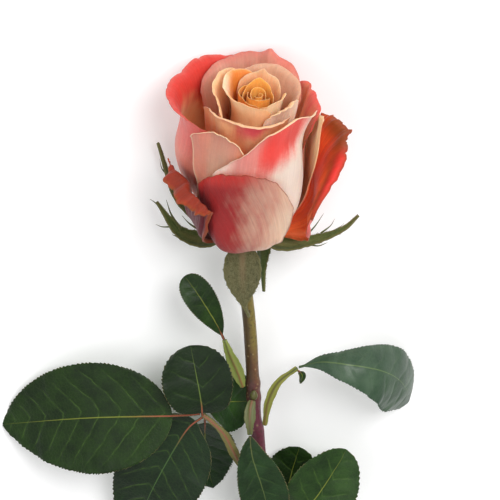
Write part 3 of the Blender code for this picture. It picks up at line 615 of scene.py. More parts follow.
def spline(points: Line, count: int) -> Array:
    """A smooth curve through the points, evenly spaced.

    Args:
        points: what the curve passes.
        count: points wanted on it.

    Returns:
        count by 3 points.
    """
    p = np.array(points, float)
    p = np.concatenate([[2 * p[0] - p[1]], p, [2 * p[-1] - p[-2]]])
    out = []
    for i in range(1, len(p) - 2):
        for t in np.linspace(0, 1, 40, endpoint=False):
            a = 2 * p[i]
            b = p[i + 1] - p[i - 1]
            c = 2 * p[i - 1] - 5 * p[i] + 4 * p[i + 1] - p[i + 2]
            d = -p[i - 1] + 3 * p[i] - 3 * p[i + 1] + p[i + 2]
            out.append(0.5 * (a + b * t + c * t * t + d * t ** 3))
    out.append(p[-2])
    curve = np.array(out)
    far = np.concatenate([[0], np.cumsum(np.linalg.norm(np.diff(curve, axis=0), axis=1))])
    even = np.linspace(0, far[-1], count)
    return np.stack([np.interp(even, far, curve[:, k]) for k in range(3)], -1)


def ribbon_frame(path: Array, face: Triple | Line) -> tuple[Array, Array]:
    """The sideways and upward directions along a path whose upper side looks along face.

    Args:
        path: points along it.
        face: the way its upper side looks.

    Returns:
        A sideways and an upward direction at each point.
    """
    tangent = np.gradient(path, axis=0)
    tangent /= np.linalg.norm(tangent, axis=1, keepdims=True)
    faces = np.atleast_2d(np.array(face, float))
    at = np.linspace(0, len(faces) - 1, len(path))
    looks = np.stack([np.interp(at, np.arange(len(faces)), faces[:, k]) for k in range(3)], -1)
    side = np.cross(tangent, looks)
    side /= np.linalg.norm(side, axis=1, keepdims=True)
    return side, np.cross(side, tangent)


MM = 1000  # in a metre
LEAST_HEIGHT = 2e-5  # metres that every point stays above the floor


@dataclass
class MeshMaker:
    """Gathers vertices, faces and values on them, in millimetres, and makes one object of them."""

    name: str
    points: list[Array] = field(default_factory=list)
    quads: list[Array] = field(default_factory=list)
    values: dict[str, list[Array]] = field(default_factory=dict)
    count: int = 0

    def add(self, points: Array, quads: Array, **values: Array) -> None:
        """Adds one body with its values, which every body of the mesh must name alike.

        Args:
            points: its vertices.
            quads: its faces.
            values: what to store at each vertex.
        """
        self.points.append(points.reshape(-1, 3))
        self.quads.append(quads + self.count)
        number = self.points[-1].shape[0]
        for key, value in values.items():
            spread = np.broadcast_to(np.asarray(value, float), (number,))
            self.values.setdefault(key, []).append(spread)
        self.count += number

    def shell(self, grid: Array, thick: Array, values: dict[str, Array],
              faces: Pair = (0.0, 1.0), face_name: str = "inside") -> None:
        """Adds a closed thin body on both sides of a grid.

        Args:
            grid: n by m points.
            thick: its thickness, n by m.
            values: what to store at each point.
            faces: what face_name says on the face along the normal, and on the other.
            face_name: the name of the value that tells the faces apart.
        """
        n, m = grid.shape[:2]
        half = np.broadcast_to(thick / 2, (n, m))[..., None]
        normal = normals_of(grid)
        number = np.arange(n * m).reshape(n, m)
        corners = [number[:-1, :-1], number[1:, :-1], number[1:, 1:], number[:-1, 1:]]
        top = np.stack(corners, -1).reshape(-1, 4)
        under = top[:, ::-1] + n * m
        rim = np.concatenate([number[:, 0], number[-1, 1:], number[-2::-1, -1], number[0, -2:0:-1]])
        after = np.roll(rim, -1)
        wall = np.stack([rim, rim + n * m, after + n * m, after], -1)
        flat = {key: np.tile(np.broadcast_to(value, (n, m)).ravel(), 2)
                for key, value in values.items()}
        flat[face_name] = np.repeat(np.array(faces, float), n * m)
        both = np.stack([grid + normal * half, grid - normal * half])
        self.add(both, np.concatenate([top, under, wall]), **flat)

    def tube(self, path: Array, radius: Array, sides: int, squash: float = 1.0,
             **values: Array) -> None:
        """Adds a round body along a path, closed at both ends by narrowing to nothing.

        Args:
            path: points along its middle.
            radius: its radius at each point.
            sides: points round it.
            squash: its thickness as a share of its width.
            values: a value for each point of the path.
        """
        along_y = abs(path[-1][1] - path[0][1]) >= 0.8 * np.ptp(path, axis=0).max()
        side, up = ribbon_frame(path, (0.9, 0.1, 0.4) if along_y else (0.3, 0.9, 0.2))
        angle = np.linspace(0, 2 * np.pi, sides, endpoint=False)
        right, high = np.cos(angle)[None, :, None], np.sin(angle)[None, :, None]
        ring = side[:, None] * right + up[:, None] * high * squash
        points = path[:, None] + ring * radius[:, None, None]
        n = len(path)
        number = np.arange(n * sides).reshape(n, sides)
        turn = np.roll(number, -1, axis=1)
        quads = np.stack([number[:-1], turn[:-1], turn[1:], number[1:]], -1).reshape(-1, 4)
        spread = {key: np.repeat(np.broadcast_to(value, (n,)), sides)
                  for key, value in values.items()}
        self.add(points, quads, **spread)

    def made(self, material: Material, slot: str, replaced: tuple[str, ...]) -> Object:
        """Makes the object, dresses it, sets it under the body's empty and hides the solids that it stands
        for.

        Args:
            material: its finish.
            slot: not used.
            replaced: the solids that it stands for.

        Returns:
            The object.
        """
        points = np.concatenate(self.points) / MM
        points[:, 2] = np.maximum(points[:, 2], LEAST_HEIGHT)
        quads = np.concatenate(self.quads)
        mesh = bpy.data.meshes.new(self.name)
        mesh.vertices.add(len(points))
        mesh.vertices.foreach_set("co", points.astype(np.float32).ravel())
        mesh.loops.add(quads.size)
        mesh.loops.foreach_set("vertex_index", quads.astype(np.int32).ravel())
        mesh.polygons.add(len(quads))
        mesh.polygons.foreach_set("loop_start", np.arange(0, quads.size, 4, dtype=np.int32))
        mesh.update(calc_edges=True)
        mesh.validate()
        for key, parts in self.values.items():
            layer = mesh.attributes.new(key, "FLOAT", "POINT")
            layer.data.foreach_set("value", np.concatenate(parts).astype(np.float32))
        mesh.shade_smooth()
        mesh.materials.append(material)
        piece = bpy.data.objects.new(self.name, mesh)
        bpy.context.scene.collection.objects.link(piece)
        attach(piece, BODY)
        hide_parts(*replaced)
        return piece


@dataclass
class Graph:
    """Places shader nodes in a tree and links them. Each input takes a socket or a plain value."""

    tree: NodeTree

    def node(self, kind: str, **settings: object) -> Node:
        """Adds a node of this kind with these settings.

        Args:
            kind: the node's type.
            settings: its properties.

        Returns:
            The node.
        """
        node = self.tree.nodes.new(kind)
        for key, value in settings.items():
            setattr(node, key, value)
        return node

    def feed(self, socket: Wire, value: object) -> None:
        """Links a socket to an input, or sets the input to a value.

        Args:
            socket: the input.
            value: a socket, or a number or colour.
        """
        if isinstance(value, Wire):
            self.tree.links.new(value, socket)
        elif isinstance(value, tuple) and len(value) == 3 and socket.type == "RGBA":
            socket.default_value = (*value, 1.0)
        else:
            socket.default_value = value

    def filled(self, node: Node, *values: object) -> Wire:
        """Feeds a node's first inputs in order.

        Args:
            node: the node.
            values: what its inputs take.

        Returns:
            Its first output.
        """
        for socket, value in zip(node.inputs, values):
            self.feed(socket, value)
        return node.outputs[0]

    def math(self, operation: str, a: object, b: object = 0.0, c: object = 0.0) -> Wire:
        """A Math node's result."""
        return self.filled(self.node("ShaderNodeMath", operation=operation), a, b, c)

    def plus(self, a: object, b: object) -> Wire:
        """The sum of two values."""
        return self.math("ADD", a, b)

    def less(self, a: object, b: object) -> Wire:
        """The first value less the second."""
        return self.math("SUBTRACT", a, b)

    def times(self, a: object, b: object) -> Wire:
        """The product of two values."""
        return self.math("MULTIPLY", a, b)

    def scaled(self, a: object, by: object, plus: object) -> Wire:
        """The first value times the second, with the third on top."""
        return self.math("MULTIPLY_ADD", a, by, plus)

    def size(self, a: object) -> Wire:
        """How far a value is from 0."""
        return self.math("ABSOLUTE", a)

    def step(self, value: object, low: object, high: object, start: float = 0.0,
             end: float = 1.0) -> Wire:
        """A soft step from start to end as the value goes from low to high."""
        node = self.node("ShaderNodeMapRange", interpolation_type="SMOOTHSTEP")
        return self.filled(node, value, low, high, start, end)

    def mix(self, share: object, a: object, b: object, blend: str = "MIX") -> Wire:
        """One colour over another.

        Args:
            share: how much of b shows.
            a: the colour below.
            b: the colour over it.
            blend: how they blend.

        Returns:
            The colour's socket.
        """
        node = self.node("ShaderNodeMix", data_type="RGBA", blend_type=blend, clamp_factor=True)
        self.feed(node.inputs[0], share)
        self.feed(node.inputs[6], a)
        self.feed(node.inputs[7], b)
        return node.outputs[2]

    def stored(self, *names: str) -> list[Wire]:
        """Values stored on the mesh, by their names."""
        return [self.node("ShaderNodeAttribute", attribute_name=name).outputs["Fac"] for name in names]

    def place(self, x: object, y: object, z: object = 0.0) -> Wire:
        """A vector of three values."""
        return self.filled(self.node("ShaderNodeCombineXYZ"), x, y, z)

    def stretched(self, x: object, y: object, by: Pair, z: object = 0.0) -> Wire:
        """A vector of two scaled values and a third."""
        return self.place(self.times(x, by[0]), self.times(y, by[1]), z)

    def object_place(self) -> Wire:
        """Where the point is on the object, in metres."""
        return self.node("ShaderNodeTexCoord").outputs["Object"]

    def noise(self, vector: object, scale: object, detail: float = 3.0,
              rough: float = 0.55) -> Wire:
        """Soft noise about 0.5.

        Args:
            vector: where it is read.
            scale: how fine it is.
            detail: how many finer layers it has.
            rough: how strong they are.

        Returns:
            The noise's socket.
        """
        node = self.node("ShaderNodeTexNoise")
        self.feed(node.inputs["Vector"], vector)
        self.feed(node.inputs["Scale"], scale)
        node.inputs["Detail"].default_value = detail
        node.inputs["Roughness"].default_value = rough
        return node.outputs[0]

    def swing(self, vector: object, scale: object, detail: float = 3.0,
              rough: float = 0.55) -> Wire:
        """Soft noise about 0."""
        return self.less(self.noise(vector, scale, detail, rough), 0.5)

    def cells(self, vector: object, scale: float, feature: str) -> Wire:
        """Distance in a cell pattern.

        Args:
            vector: where it is read.
            scale: how fine it is.
            feature: which distance it is.

        Returns:
            The distance's socket.
        """
        node = self.node("ShaderNodeTexVoronoi", feature=feature)
        self.feed(node.inputs["Vector"], vector)
        node.inputs["Scale"].default_value = scale
        return node.outputs["Distance"]

    def group(self, tree: NodeTree, **values: object) -> Node:
        """Places a node group. Its inputs are named as the values, with spaces for underscores.

        Args:
            tree: the group.
            values: its inputs.

        Returns:
            The node.
        """
        node = self.node("ShaderNodeGroup", node_tree=tree)
        for key, value in values.items():
            self.feed(node.inputs[key.replace("_", " ")], value)
        return node


class Socket(Enum):
    """Kinds of socket on a node group."""

    NUMBER = "NodeSocketFloat"
    COLOUR = "NodeSocketColor"


def new_group(name: str, inputs: dict[str, Socket],
              outputs: dict[str, Socket]) -> tuple[Graph, dict[str, Wire], dict[str, Wire]]:
    """Starts a shader node group.

    Args:
        name: its name.
        inputs: its inputs and their kinds.
        outputs: its outputs and their kinds.

    Returns:
        The graph, the sockets that bring the inputs in, and those that take the outputs.
    """
    tree = bpy.data.node_groups.new(name, "ShaderNodeTree")
    for key, kind in inputs.items():
        tree.interface.new_socket(key, in_out="INPUT", socket_type=kind.value)
    for key, kind in outputs.items():
        tree.interface.new_socket(key, in_out="OUTPUT", socket_type=kind.value)
    graph = Graph(tree)
    start = graph.node("NodeGroupInput").outputs
    end = graph.node("NodeGroupOutput").inputs
    return graph, {key: start[key] for key in inputs}, {key: end[key] for key in outputs}


SPOT_EDGE = (1.25, 0.35)  # where a patch starts and where it is full, as shares of its size


def spot_group() -> NodeTree:
    """A soft oval patch on a blade: 1 at its middle and 0 outside, with a wandering edge.

    Returns:
        The node group.
    """
    numbers = ("Across", "Up", "Centre Across", "Centre Up", "Width", "Height", "Turn", "Wander")
    inputs = {key: Socket.NUMBER for key in numbers}
    graph, given, made = new_group("soft spot", inputs, {"Mask": Socket.NUMBER})
    x = graph.less(given["Across"], given["Centre Across"])
    y = graph.less(given["Up"], given["Centre Up"])
    cosine = graph.math("COSINE", given["Turn"])
    sine = graph.math("SINE", given["Turn"])
    long = graph.scaled(x, cosine, graph.times(y, sine))
    short = graph.less(graph.times(y, cosine), graph.times(x, sine))
    long = graph.math("DIVIDE", long, given["Width"])
    short = graph.math("DIVIDE", short, given["Height"])
    far = graph.math("SQRT", graph.scaled(long, long, graph.times(short, short)))
    graph.feed(made["Mask"], graph.step(graph.plus(far, given["Wander"]), *SPOT_EDGE))
    return graph.tree


STREAKS = (7.0, 1.6)  # waves of a petal's streaks across half of it, and up it
CLOUDS = (1.6, 1.8)  # and of its broad clouds
FINE_VEINS = (34.0, 2.4)  # and of its veins
CRUMBS = 900.0  # grains of its skin in a metre
DRY_SPOTS = 420.0  # dry spots of its margin in a metre
PATCHES = ("First", "Second", "Third")  # the patches a petal may have
PATCH_PLACES = ("Across", "Up", "Width", "Height", "Turn")


def petal_group(spot: NodeTree) -> NodeTree:
    """Colour of a petal: each face runs from foot to margin, under patches, a rim, veins and dry edges.

    Args:
        spot: the patch's node group.

    Returns:
        The node group.
    """
    inputs = {key.replace("_", " "): Socket.COLOUR if isinstance(value, tuple) else Socket.NUMBER
              for key, value in PetalFinish().values(0).items()}
    outputs = {"Colour": Socket.COLOUR, "Roughness": Socket.NUMBER, "Height": Socket.NUMBER}
    graph, given, made = new_group("petal colour", inputs, outputs)
    u, v, inside, margin = graph.stored("across", "up", "inside", "margin")
    seed = given["Seed"]
    leaned = graph.scaled(v, given["Slant"], u)
    fan = graph.stretched(leaned, v, STREAKS, seed)
    streaks = graph.swing(fan, 1.3, 4.0, 0.6)
    broad = graph.stretched(u, v, CLOUDS, graph.plus(seed, 7.0))
    clouds = graph.swing(broad, 1.5, 2.0, 0.5)
    crumbs = graph.swing(graph.object_place(), CRUMBS, 4.0, 0.65)
    wander = graph.scaled(streaks, 0.3, graph.times(clouds, 0.5))
    wander = graph.scaled(crumbs, 0.12, wander)
    height = graph.plus(v, wander)
    faces = []
    for side in ("Outer", "Inner"):
        start = graph.less(given[f"{side} Split"], given[f"{side} Soft"])
        end = graph.plus(given[f"{side} Split"], given[f"{side} Soft"])
        share = graph.step(height, start, end)
        faces.append(graph.mix(share, given[f"{side} Low"], given[f"{side} High"]))
    colour = graph.mix(inside, *faces)
    for key in PATCHES:
        places = {f"Centre_{place}" if place in ("Across", "Up") else place: given[f"{key} {place}"]
                  for place in PATCH_PLACES}
        mask = graph.group(spot, Across=u, Up=v, Wander=graph.times(wander, 1.5), **places).outputs["Mask"]
        away = graph.size(graph.less(inside, given[f"{key} Face"]))
        shows = graph.times(mask, graph.less(1.0, away))
        share = graph.times(shows, given[f"{key} Strength"])
        colour = graph.mix(share, colour, given[f"{key} Colour"])
    edge = graph.scaled(streaks, given["Rim Width"], margin)
    rim = graph.times(graph.step(edge, given["Rim Width"], 0.0), given["Rim Strength"])
    colour = graph.mix(rim, colour, given["Rim"])
    fine = graph.stretched(leaned, v, FINE_VEINS, seed)
    lines = graph.swing(fine, 1.0, 3.0, 0.6)
    cloudy = graph.times(graph.plus(clouds, graph.times(crumbs, 0.6)), given["Mottle"])
    shade = graph.plus(graph.scaled(graph.times(lines, given["Veins"]), 0.9, 1.0), cloudy)
    colour = graph.mix(1.0, colour, graph.place(shade, shade, shade), "MULTIPLY")
    patchy = graph.step(graph.noise(graph.object_place(), DRY_SPOTS, 3.0, 0.6), 0.34, 0.6)
    dry = graph.times(graph.step(margin, given["Dry Width"], 0.0), patchy)
    colour = graph.mix(graph.times(dry, given["Dry Strength"]), colour, given["Dry"])
    graph.feed(made["Colour"], colour)
    graph.feed(made["Roughness"], graph.scaled(clouds, 0.15, 0.5))
    relief = graph.scaled(lines, 0.8, graph.times(streaks, 0.6))
    graph.feed(made["Height"], graph.scaled(crumbs, 0.35, relief))
    return graph.tree


@dataclass(frozen=True)
class Surface:
    """What is the same all over a finish: plain values of its shader, and how far its relief stands out."""

    plain: dict[str, object]
    relief: float = 0.4
    relief_height: float = 0.0003  # metres

    def material(self, name: str) -> tuple[Material, Graph, Node]:
        """Starts a material.

        Args:
            name: its name.

        Returns:
            The material, its graph and its shader.
        """
        material = bpy.data.materials.new(name)
        material.use_nodes = True
        shader = material.node_tree.nodes["Principled BSDF"]
        for key, value in self.plain.items():
            shader.inputs[key].default_value = value
        return material, Graph(material.node_tree), shader

    def over(self, name: str, group: NodeTree, **values: object) -> Material:
        """A material whose colour, roughness and relief come from one node group.

        Args:
            name: its name.
            group: the node group.
            values: what the group's inputs say.

        Returns:
            The material.
        """
        material, graph, shader = self.material(name)
        tint = graph.group(group, **values)
        graph.feed(shader.inputs["Base Color"], tint.outputs["Colour"])
        graph.feed(shader.inputs["Roughness"], tint.outputs["Roughness"])
        self.raised(graph, shader, tint.outputs["Height"])
        return material

    def raised(self, graph: Graph, shader: Node, height: Wire) -> None:
        """Raises the surface of a shader.

        Args:
            graph: the material's graph.
            shader: the shader.
            height: how high each place is, as a share of the relief's height.
        """
        bump = graph.node("ShaderNodeBump")
        bump.inputs["Strength"].default_value = self.relief
        bump.inputs["Distance"].default_value = self.relief_height
        graph.feed(bump.inputs["Height"], height)
        graph.feed(shader.inputs["Normal"], bump.outputs[0])


PETAL_SKIN = Surface({"Subsurface Weight": 0.3, "Subsurface Radius": (1.0, 0.5, 0.3),
                      "Subsurface Scale": 0.0012, "Specular IOR Level": 0.25, "Sheen Weight": 0.1,
                      "Sheen Roughness": 0.4}, relief=0.45, relief_height=0.0004)
LEAF_SKIN = Surface({"Subsurface Weight": 0.08, "Subsurface Radius": (0.4, 1.0, 0.2),
                     "Subsurface Scale": 0.0006, "Specular IOR Level": 0.2, "Coat Roughness": 0.28})
STALK_SKIN = Surface({"Subsurface Weight": 0.1, "Subsurface Scale": 0.0008}, relief=0.3)
SEPAL_SKIN = Surface({"Roughness": 0.7, "Sheen Weight": 0.12, "Sheen Roughness": 0.5,
                      "Specular IOR Level": 0.25}, relief=0.5, relief_height=0.0002)
BARK = Surface({"Specular IOR Level": 0.4, "Subsurface Weight": 0.05, "Subsurface Scale": 0.0008})
PAPER = Surface({"Roughness": 0.9, "Emission Color": (1, 1, 1, 1)})


AMBER = ink(224, 126, 34)
GOLD = ink(238, 170, 84)
HONEY = ink(242, 184, 118)
APRICOT = ink(230, 142, 88)
PEACH = ink(244, 192, 146)
IVORY = ink(248, 222, 186)
CREAM = ink(238, 212, 196)
SHELL = ink(226, 168, 146)
BLUSH = ink(216, 128, 110)
ROSE = ink(212, 100, 92)
CORAL = ink(230, 66, 58)
CRIMSON = ink(196, 52, 44)
MAGENTA = ink(216, 72, 92)
ORANGE = ink(240, 112, 60)
RUST = ink(180, 78, 38)
BRICK = ink(140, 48, 28)
GARNET = ink(150, 36, 36)
PLUM = ink(92, 20, 32)
BROWN = ink(108, 66, 26)
TAN = ink(222, 166, 124)
OCHRE = ink(234, 150, 84)
DUSK = ink(194, 128, 110)
FAWN = ink(208, 160, 132)
SAND = ink(222, 186, 160)
SCARLET = ink(208, 62, 52)
# on the left cup and the inner guard petal, melon is painted light on inner faces that lie in shade
MELON = ink(255, 186, 132)
# painted light: far lighter than a petal's own colour, for lifting an inner face that lies in shade
CHAMOIS = ink(255, 218, 176)
UMBER = ink(96, 38, 22)


@dataclass(frozen=True)
class Patch:
    """A soft patch of colour on one face of a petal."""

    colour: Colour
    face: Face
    spot: Pair  # across -1 to 1, up 0 to 1
    size: Pair
    turn: float = 0.0  # radians
    strength: float = 1.0


NO_PATCH = Patch(CREAM, Face.OUTER, (0.0, 0.5), (0.5, 0.5), 0.0, 0.0)


@dataclass(frozen=True)
class PetalFinish:
    """A petal's colours and how its margin is worn. Lengths are in mm."""

    outer: tuple[Colour, Colour] = (CREAM, ROSE)  # foot, margin
    inner: tuple[Colour, Colour] = (AMBER, PEACH)
    outer_split: Pair = (0.75, 0.3)  # where one turns to the other, and how softly
    inner_split: Pair = (0.7, 0.25)
    rim: Colour = ROSE
    rim_width: float = 2.0
    rim_strength: float = 0.5
    patches: tuple[Patch, ...] = ()
    dry: Colour = BROWN
    dry_width: float = 0.5
    dry_strength: float = 0.2
    veins: float = 0.2
    slant: float = 0.0  # how far its veins lean to one side
    mottle: float = 0.25
    torn: float = 0.25  # depth of its notches
    tears: float = 3.0  # notches in half its width
    ruffle: float = 0.25  # height of its waves
    ruffles: float = 2.0
    reach: float = 6.0  # how far in from the margin its waves go
    ragged: float = 0.0  # depth of its sharp tears
    creases: float = 0.0  # height of its creases
    roll: float = 0.35  # how far its last part rolls out
    corner: float = 0.06  # how much its corners are rounded

    def values(self, seed: int) -> dict[str, object]:
        """What its material tells the shared petal colour, by input.

        Args:
            seed: sets its streaks.

        Returns:
            A value for each input.
        """
        plain = ("rim", "rim_width", "rim_strength", "dry", "dry_width", "dry_strength", "veins",
                 "slant", "mottle")
        given = {name.title(): getattr(self, name) for name in plain} | {"Seed": float(seed)}
        low_high = {"Outer": (self.outer, self.outer_split), "Inner": (self.inner, self.inner_split)}
        for side, (colours, split) in low_high.items():
            given[f"{side}_Low"], given[f"{side}_High"] = colours
            given[f"{side}_Split"], given[f"{side}_Soft"] = split
        for key, patch in zip(PATCHES, (*self.patches, NO_PATCH, NO_PATCH, NO_PATCH)):
            given[f"{key}_Colour"] = patch.colour
            given[f"{key}_Face"] = patch.face.value
            given[f"{key}_Strength"] = patch.strength
            for place, value in zip(PATCH_PLACES, (*patch.spot, *patch.size, patch.turn)):
                given[f"{key}_{place}"] = value
        return given

    def material(self, name: str, group: NodeTree, seed: int) -> Material:
        """The petal's own material, with the shared petal colour and its own streaks."""
        return PETAL_SKIN.over(name, group, **self.values(seed))


CORE = PetalFinish(outer=(AMBER, GOLD), inner=(AMBER, GOLD), rim=IVORY, rim_width=0.6, rim_strength=0.35,
                   dry_strength=0.0, torn=0.1, ruffle=0.12, roll=0.1)
HEART = PetalFinish(outer=(APRICOT, PEACH), inner=(AMBER, HONEY), inner_split=(0.8, 0.2),
                    rim=IVORY, rim_width=0.9, rim_strength=0.28, dry_strength=0.03,
                    torn=0.15, ruffle=0.2, roll=0.3)
RING = PetalFinish(outer=(APRICOT, PEACH), inner=(APRICOT, PEACH), rim=IVORY, rim_width=1.0,
                   rim_strength=0.28, dry_strength=0.05, torn=0.2, ruffle=0.3, roll=0.3,
                   creases=0.15, mottle=0.32)
CUP = PetalFinish(outer=(SHELL, ROSE), inner=(APRICOT, CORAL), outer_split=(0.6, 0.3),
                  inner_split=(0.75, 0.22), rim=CORAL, veins=0.3, mottle=0.4, creases=0.25)
GUARD = PetalFinish(inner=(ORANGE, ORANGE), rim=BRICK, rim_width=2.5, dry_width=1.2, dry_strength=0.6,
                    torn=0.7, tears=3.3, ragged=1.6, ruffle=0.7, ruffles=2.6, creases=0.5, veins=0.3,
                    mottle=0.45)

PETAL_FINISHES = {
    "petal_heart_back": replace(HEART, inner=(AMBER, TAN)),
    "petal_heart_left": replace(
        HEART, inner=(AMBER, OCHRE),
        patches=(Patch(AMBER, Face.INNER, (-0.6, 0.75), (0.5, 0.25)),
                 Patch(IVORY, Face.OUTER, (0.35, 1.0), (0.5, 0.12), strength=0.5),
                 Patch(IVORY, Face.INNER, (-0.15, 1.0), (0.35, 0.08), strength=0.7))),
    "petal_heart_right": replace(HEART, outer=(PEACH, IVORY)),
    "petal_ring_back": replace(RING, inner=(OCHRE, FAWN), rim=SHELL),
    "petal_ring_right": replace(RING, outer=(PEACH, CREAM), inner=(AMBER, PEACH)),
    "petal_ring_left": replace(RING, rim=PEACH),
    "petal_front_blush": replace(
        RING, outer=(APRICOT, TAN), outer_split=(0.8, 0.2), rim=SHELL, rim_strength=0.5,
        patches=(Patch(MAGENTA, Face.OUTER, (0.2, 0.97), (0.42, 0.12), 0.2, 0.9),
                 Patch(ORANGE, Face.OUTER, (0.1, 0.62), (0.7, 0.2), strength=0.4),
                 Patch(ROSE, Face.OUTER, (-0.3, 0.99), (0.4, 0.05), strength=0.5))),
    "petal_back": replace(
        CUP, inner=(FAWN, DUSK), inner_split=(0.85, 0.15), rim=ROSE, rim_width=3.5,
        patches=(Patch(FAWN, Face.INNER, (-0.8, 0.78), (0.4, 0.4), strength=0.9),
                 Patch(SHELL, Face.INNER, (0.75, 0.85), (0.35, 0.3), strength=0.6),
                 Patch(BLUSH, Face.INNER, (-0.45, 1.0), (0.35, 0.1), strength=0.8))),
    "petal_right_cup": replace(
        CUP, outer=(MELON, BLUSH), inner=(MELON, ROSE), inner_split=(0.85, 0.2), rim=CORAL),
    "petal_left_cup": replace(
        # painted light: melon at the foot of the inner face is lighter than the petal's own peach, to lift
        # the shade deep in its cup
        CUP, outer=(BLUSH, ROSE), inner=(MELON, SCARLET), inner_split=(0.74, 0.18), rim=ROSE,
        rim_width=2.6, rim_strength=0.6, torn=0.5,
        patches=(Patch(SCARLET, Face.INNER, (0.2, 0.9), (0.6, 0.14), strength=0.6),
                 Patch(ROSE, Face.OUTER, (0.6, 0.75), (0.5, 0.35), strength=0.5))),
    "petal_under_front": replace(CUP, outer=(CREAM, ROSE), rim=ROSE),
    "petal_front_right": replace(
        CUP, outer=(CREAM, CREAM), inner=(ORANGE, PEACH), rim=CREAM, rim_width=0.8,
        rim_strength=0.4, dry_strength=0.0, mottle=0.15,
        patches=(Patch(ROSE, Face.OUTER, (-0.1, 0.94), (0.75, 0.24), strength=0.8),
                 Patch(CORAL, Face.OUTER, (0.3, 0.88), (0.6, 0.2), 0.2, 0.95),
                 Patch(SCARLET, Face.OUTER, (0.52, 0.88), (0.2, 0.1), 0.2, 0.6))),
    "petal_front_left": replace(
        # painted shade and highlight: the outer face's fawn and dusk are darker than the petal's own cream,
        # for the shade on its side turned from the light; the ivory rim is partly its pale margin and partly
        # a painted highlight on its rolled lip
        CUP, outer=(FAWN, DUSK), outer_split=(0.8, 0.4), inner=(ORANGE, PEACH), rim=IVORY,
        rim_width=0.7, rim_strength=0.6, dry_strength=0.0, roll=0.6,
        patches=(Patch(BLUSH, Face.OUTER, (-0.85, 0.75), (0.35, 0.5), strength=0.6),
                 Patch(APRICOT, Face.OUTER, (0.9, 0.75), (0.5, 0.5), strength=0.5))),
    "petal_guard_right_inner": replace(
        # painted light: melon and chamois are lighter than this petal's own peach, to lift the strip of its
        # inner face that lies in shade between the front-right petal and the guard petal
        GUARD, outer=(ORANGE, ORANGE), inner=(MELON, CHAMOIS), inner_split=(0.6, 0.3), torn=0.2,
        ragged=0.0, creases=0.0, ruffle=0.3, dry_strength=0.1, rim=PEACH, rim_width=1.0, veins=0.15,
        mottle=0.2),
    "petal_guard_back": GUARD,
    "petal_guard_front": replace(
        GUARD, outer=(GARNET, GARNET), slant=1.1, veins=0.6, torn=0.25, ragged=0.7, creases=0.15,
        ruffle=0.4, rim=BRICK, rim_width=0.9, rim_strength=0.6, dry_width=0.7,
        patches=(Patch(SAND, Face.OUTER, (1.45, 0.5), (1.4, 1.7)),
                 Patch(CRIMSON, Face.OUTER, (-0.5, 0.97), (0.7, 0.12), strength=0.6),
                 Patch(PLUM, Face.OUTER, (-1.0, 0.3), (0.4, 0.5), strength=0.9))),
    "petal_guard_left": replace(
        # the inner face runs from umber at its foot to brick: the umber is partly the petal's own dark brown
        # and partly painted shade deep in its cup
        GUARD, outer=(PLUM, BRICK), inner=(UMBER, BRICK), rim=RUST, dry_width=2.0, ragged=2.4),
    "petal_guard_right": replace(
        GUARD, outer=(ROSE, CORAL), inner=(ORANGE, RUST), inner_split=(0.8, 0.15),
        patches=(Patch(UMBER, Face.INNER, (-0.55, 1.0), (0.52, 0.2), strength=0.9),
                 Patch(CORAL, Face.INNER, (-0.58, 1.03), (0.44, 0.16)),
                 Patch(BROWN, Face.INNER, (0.2, 0.98), (0.6, 0.12), strength=0.7))),
}


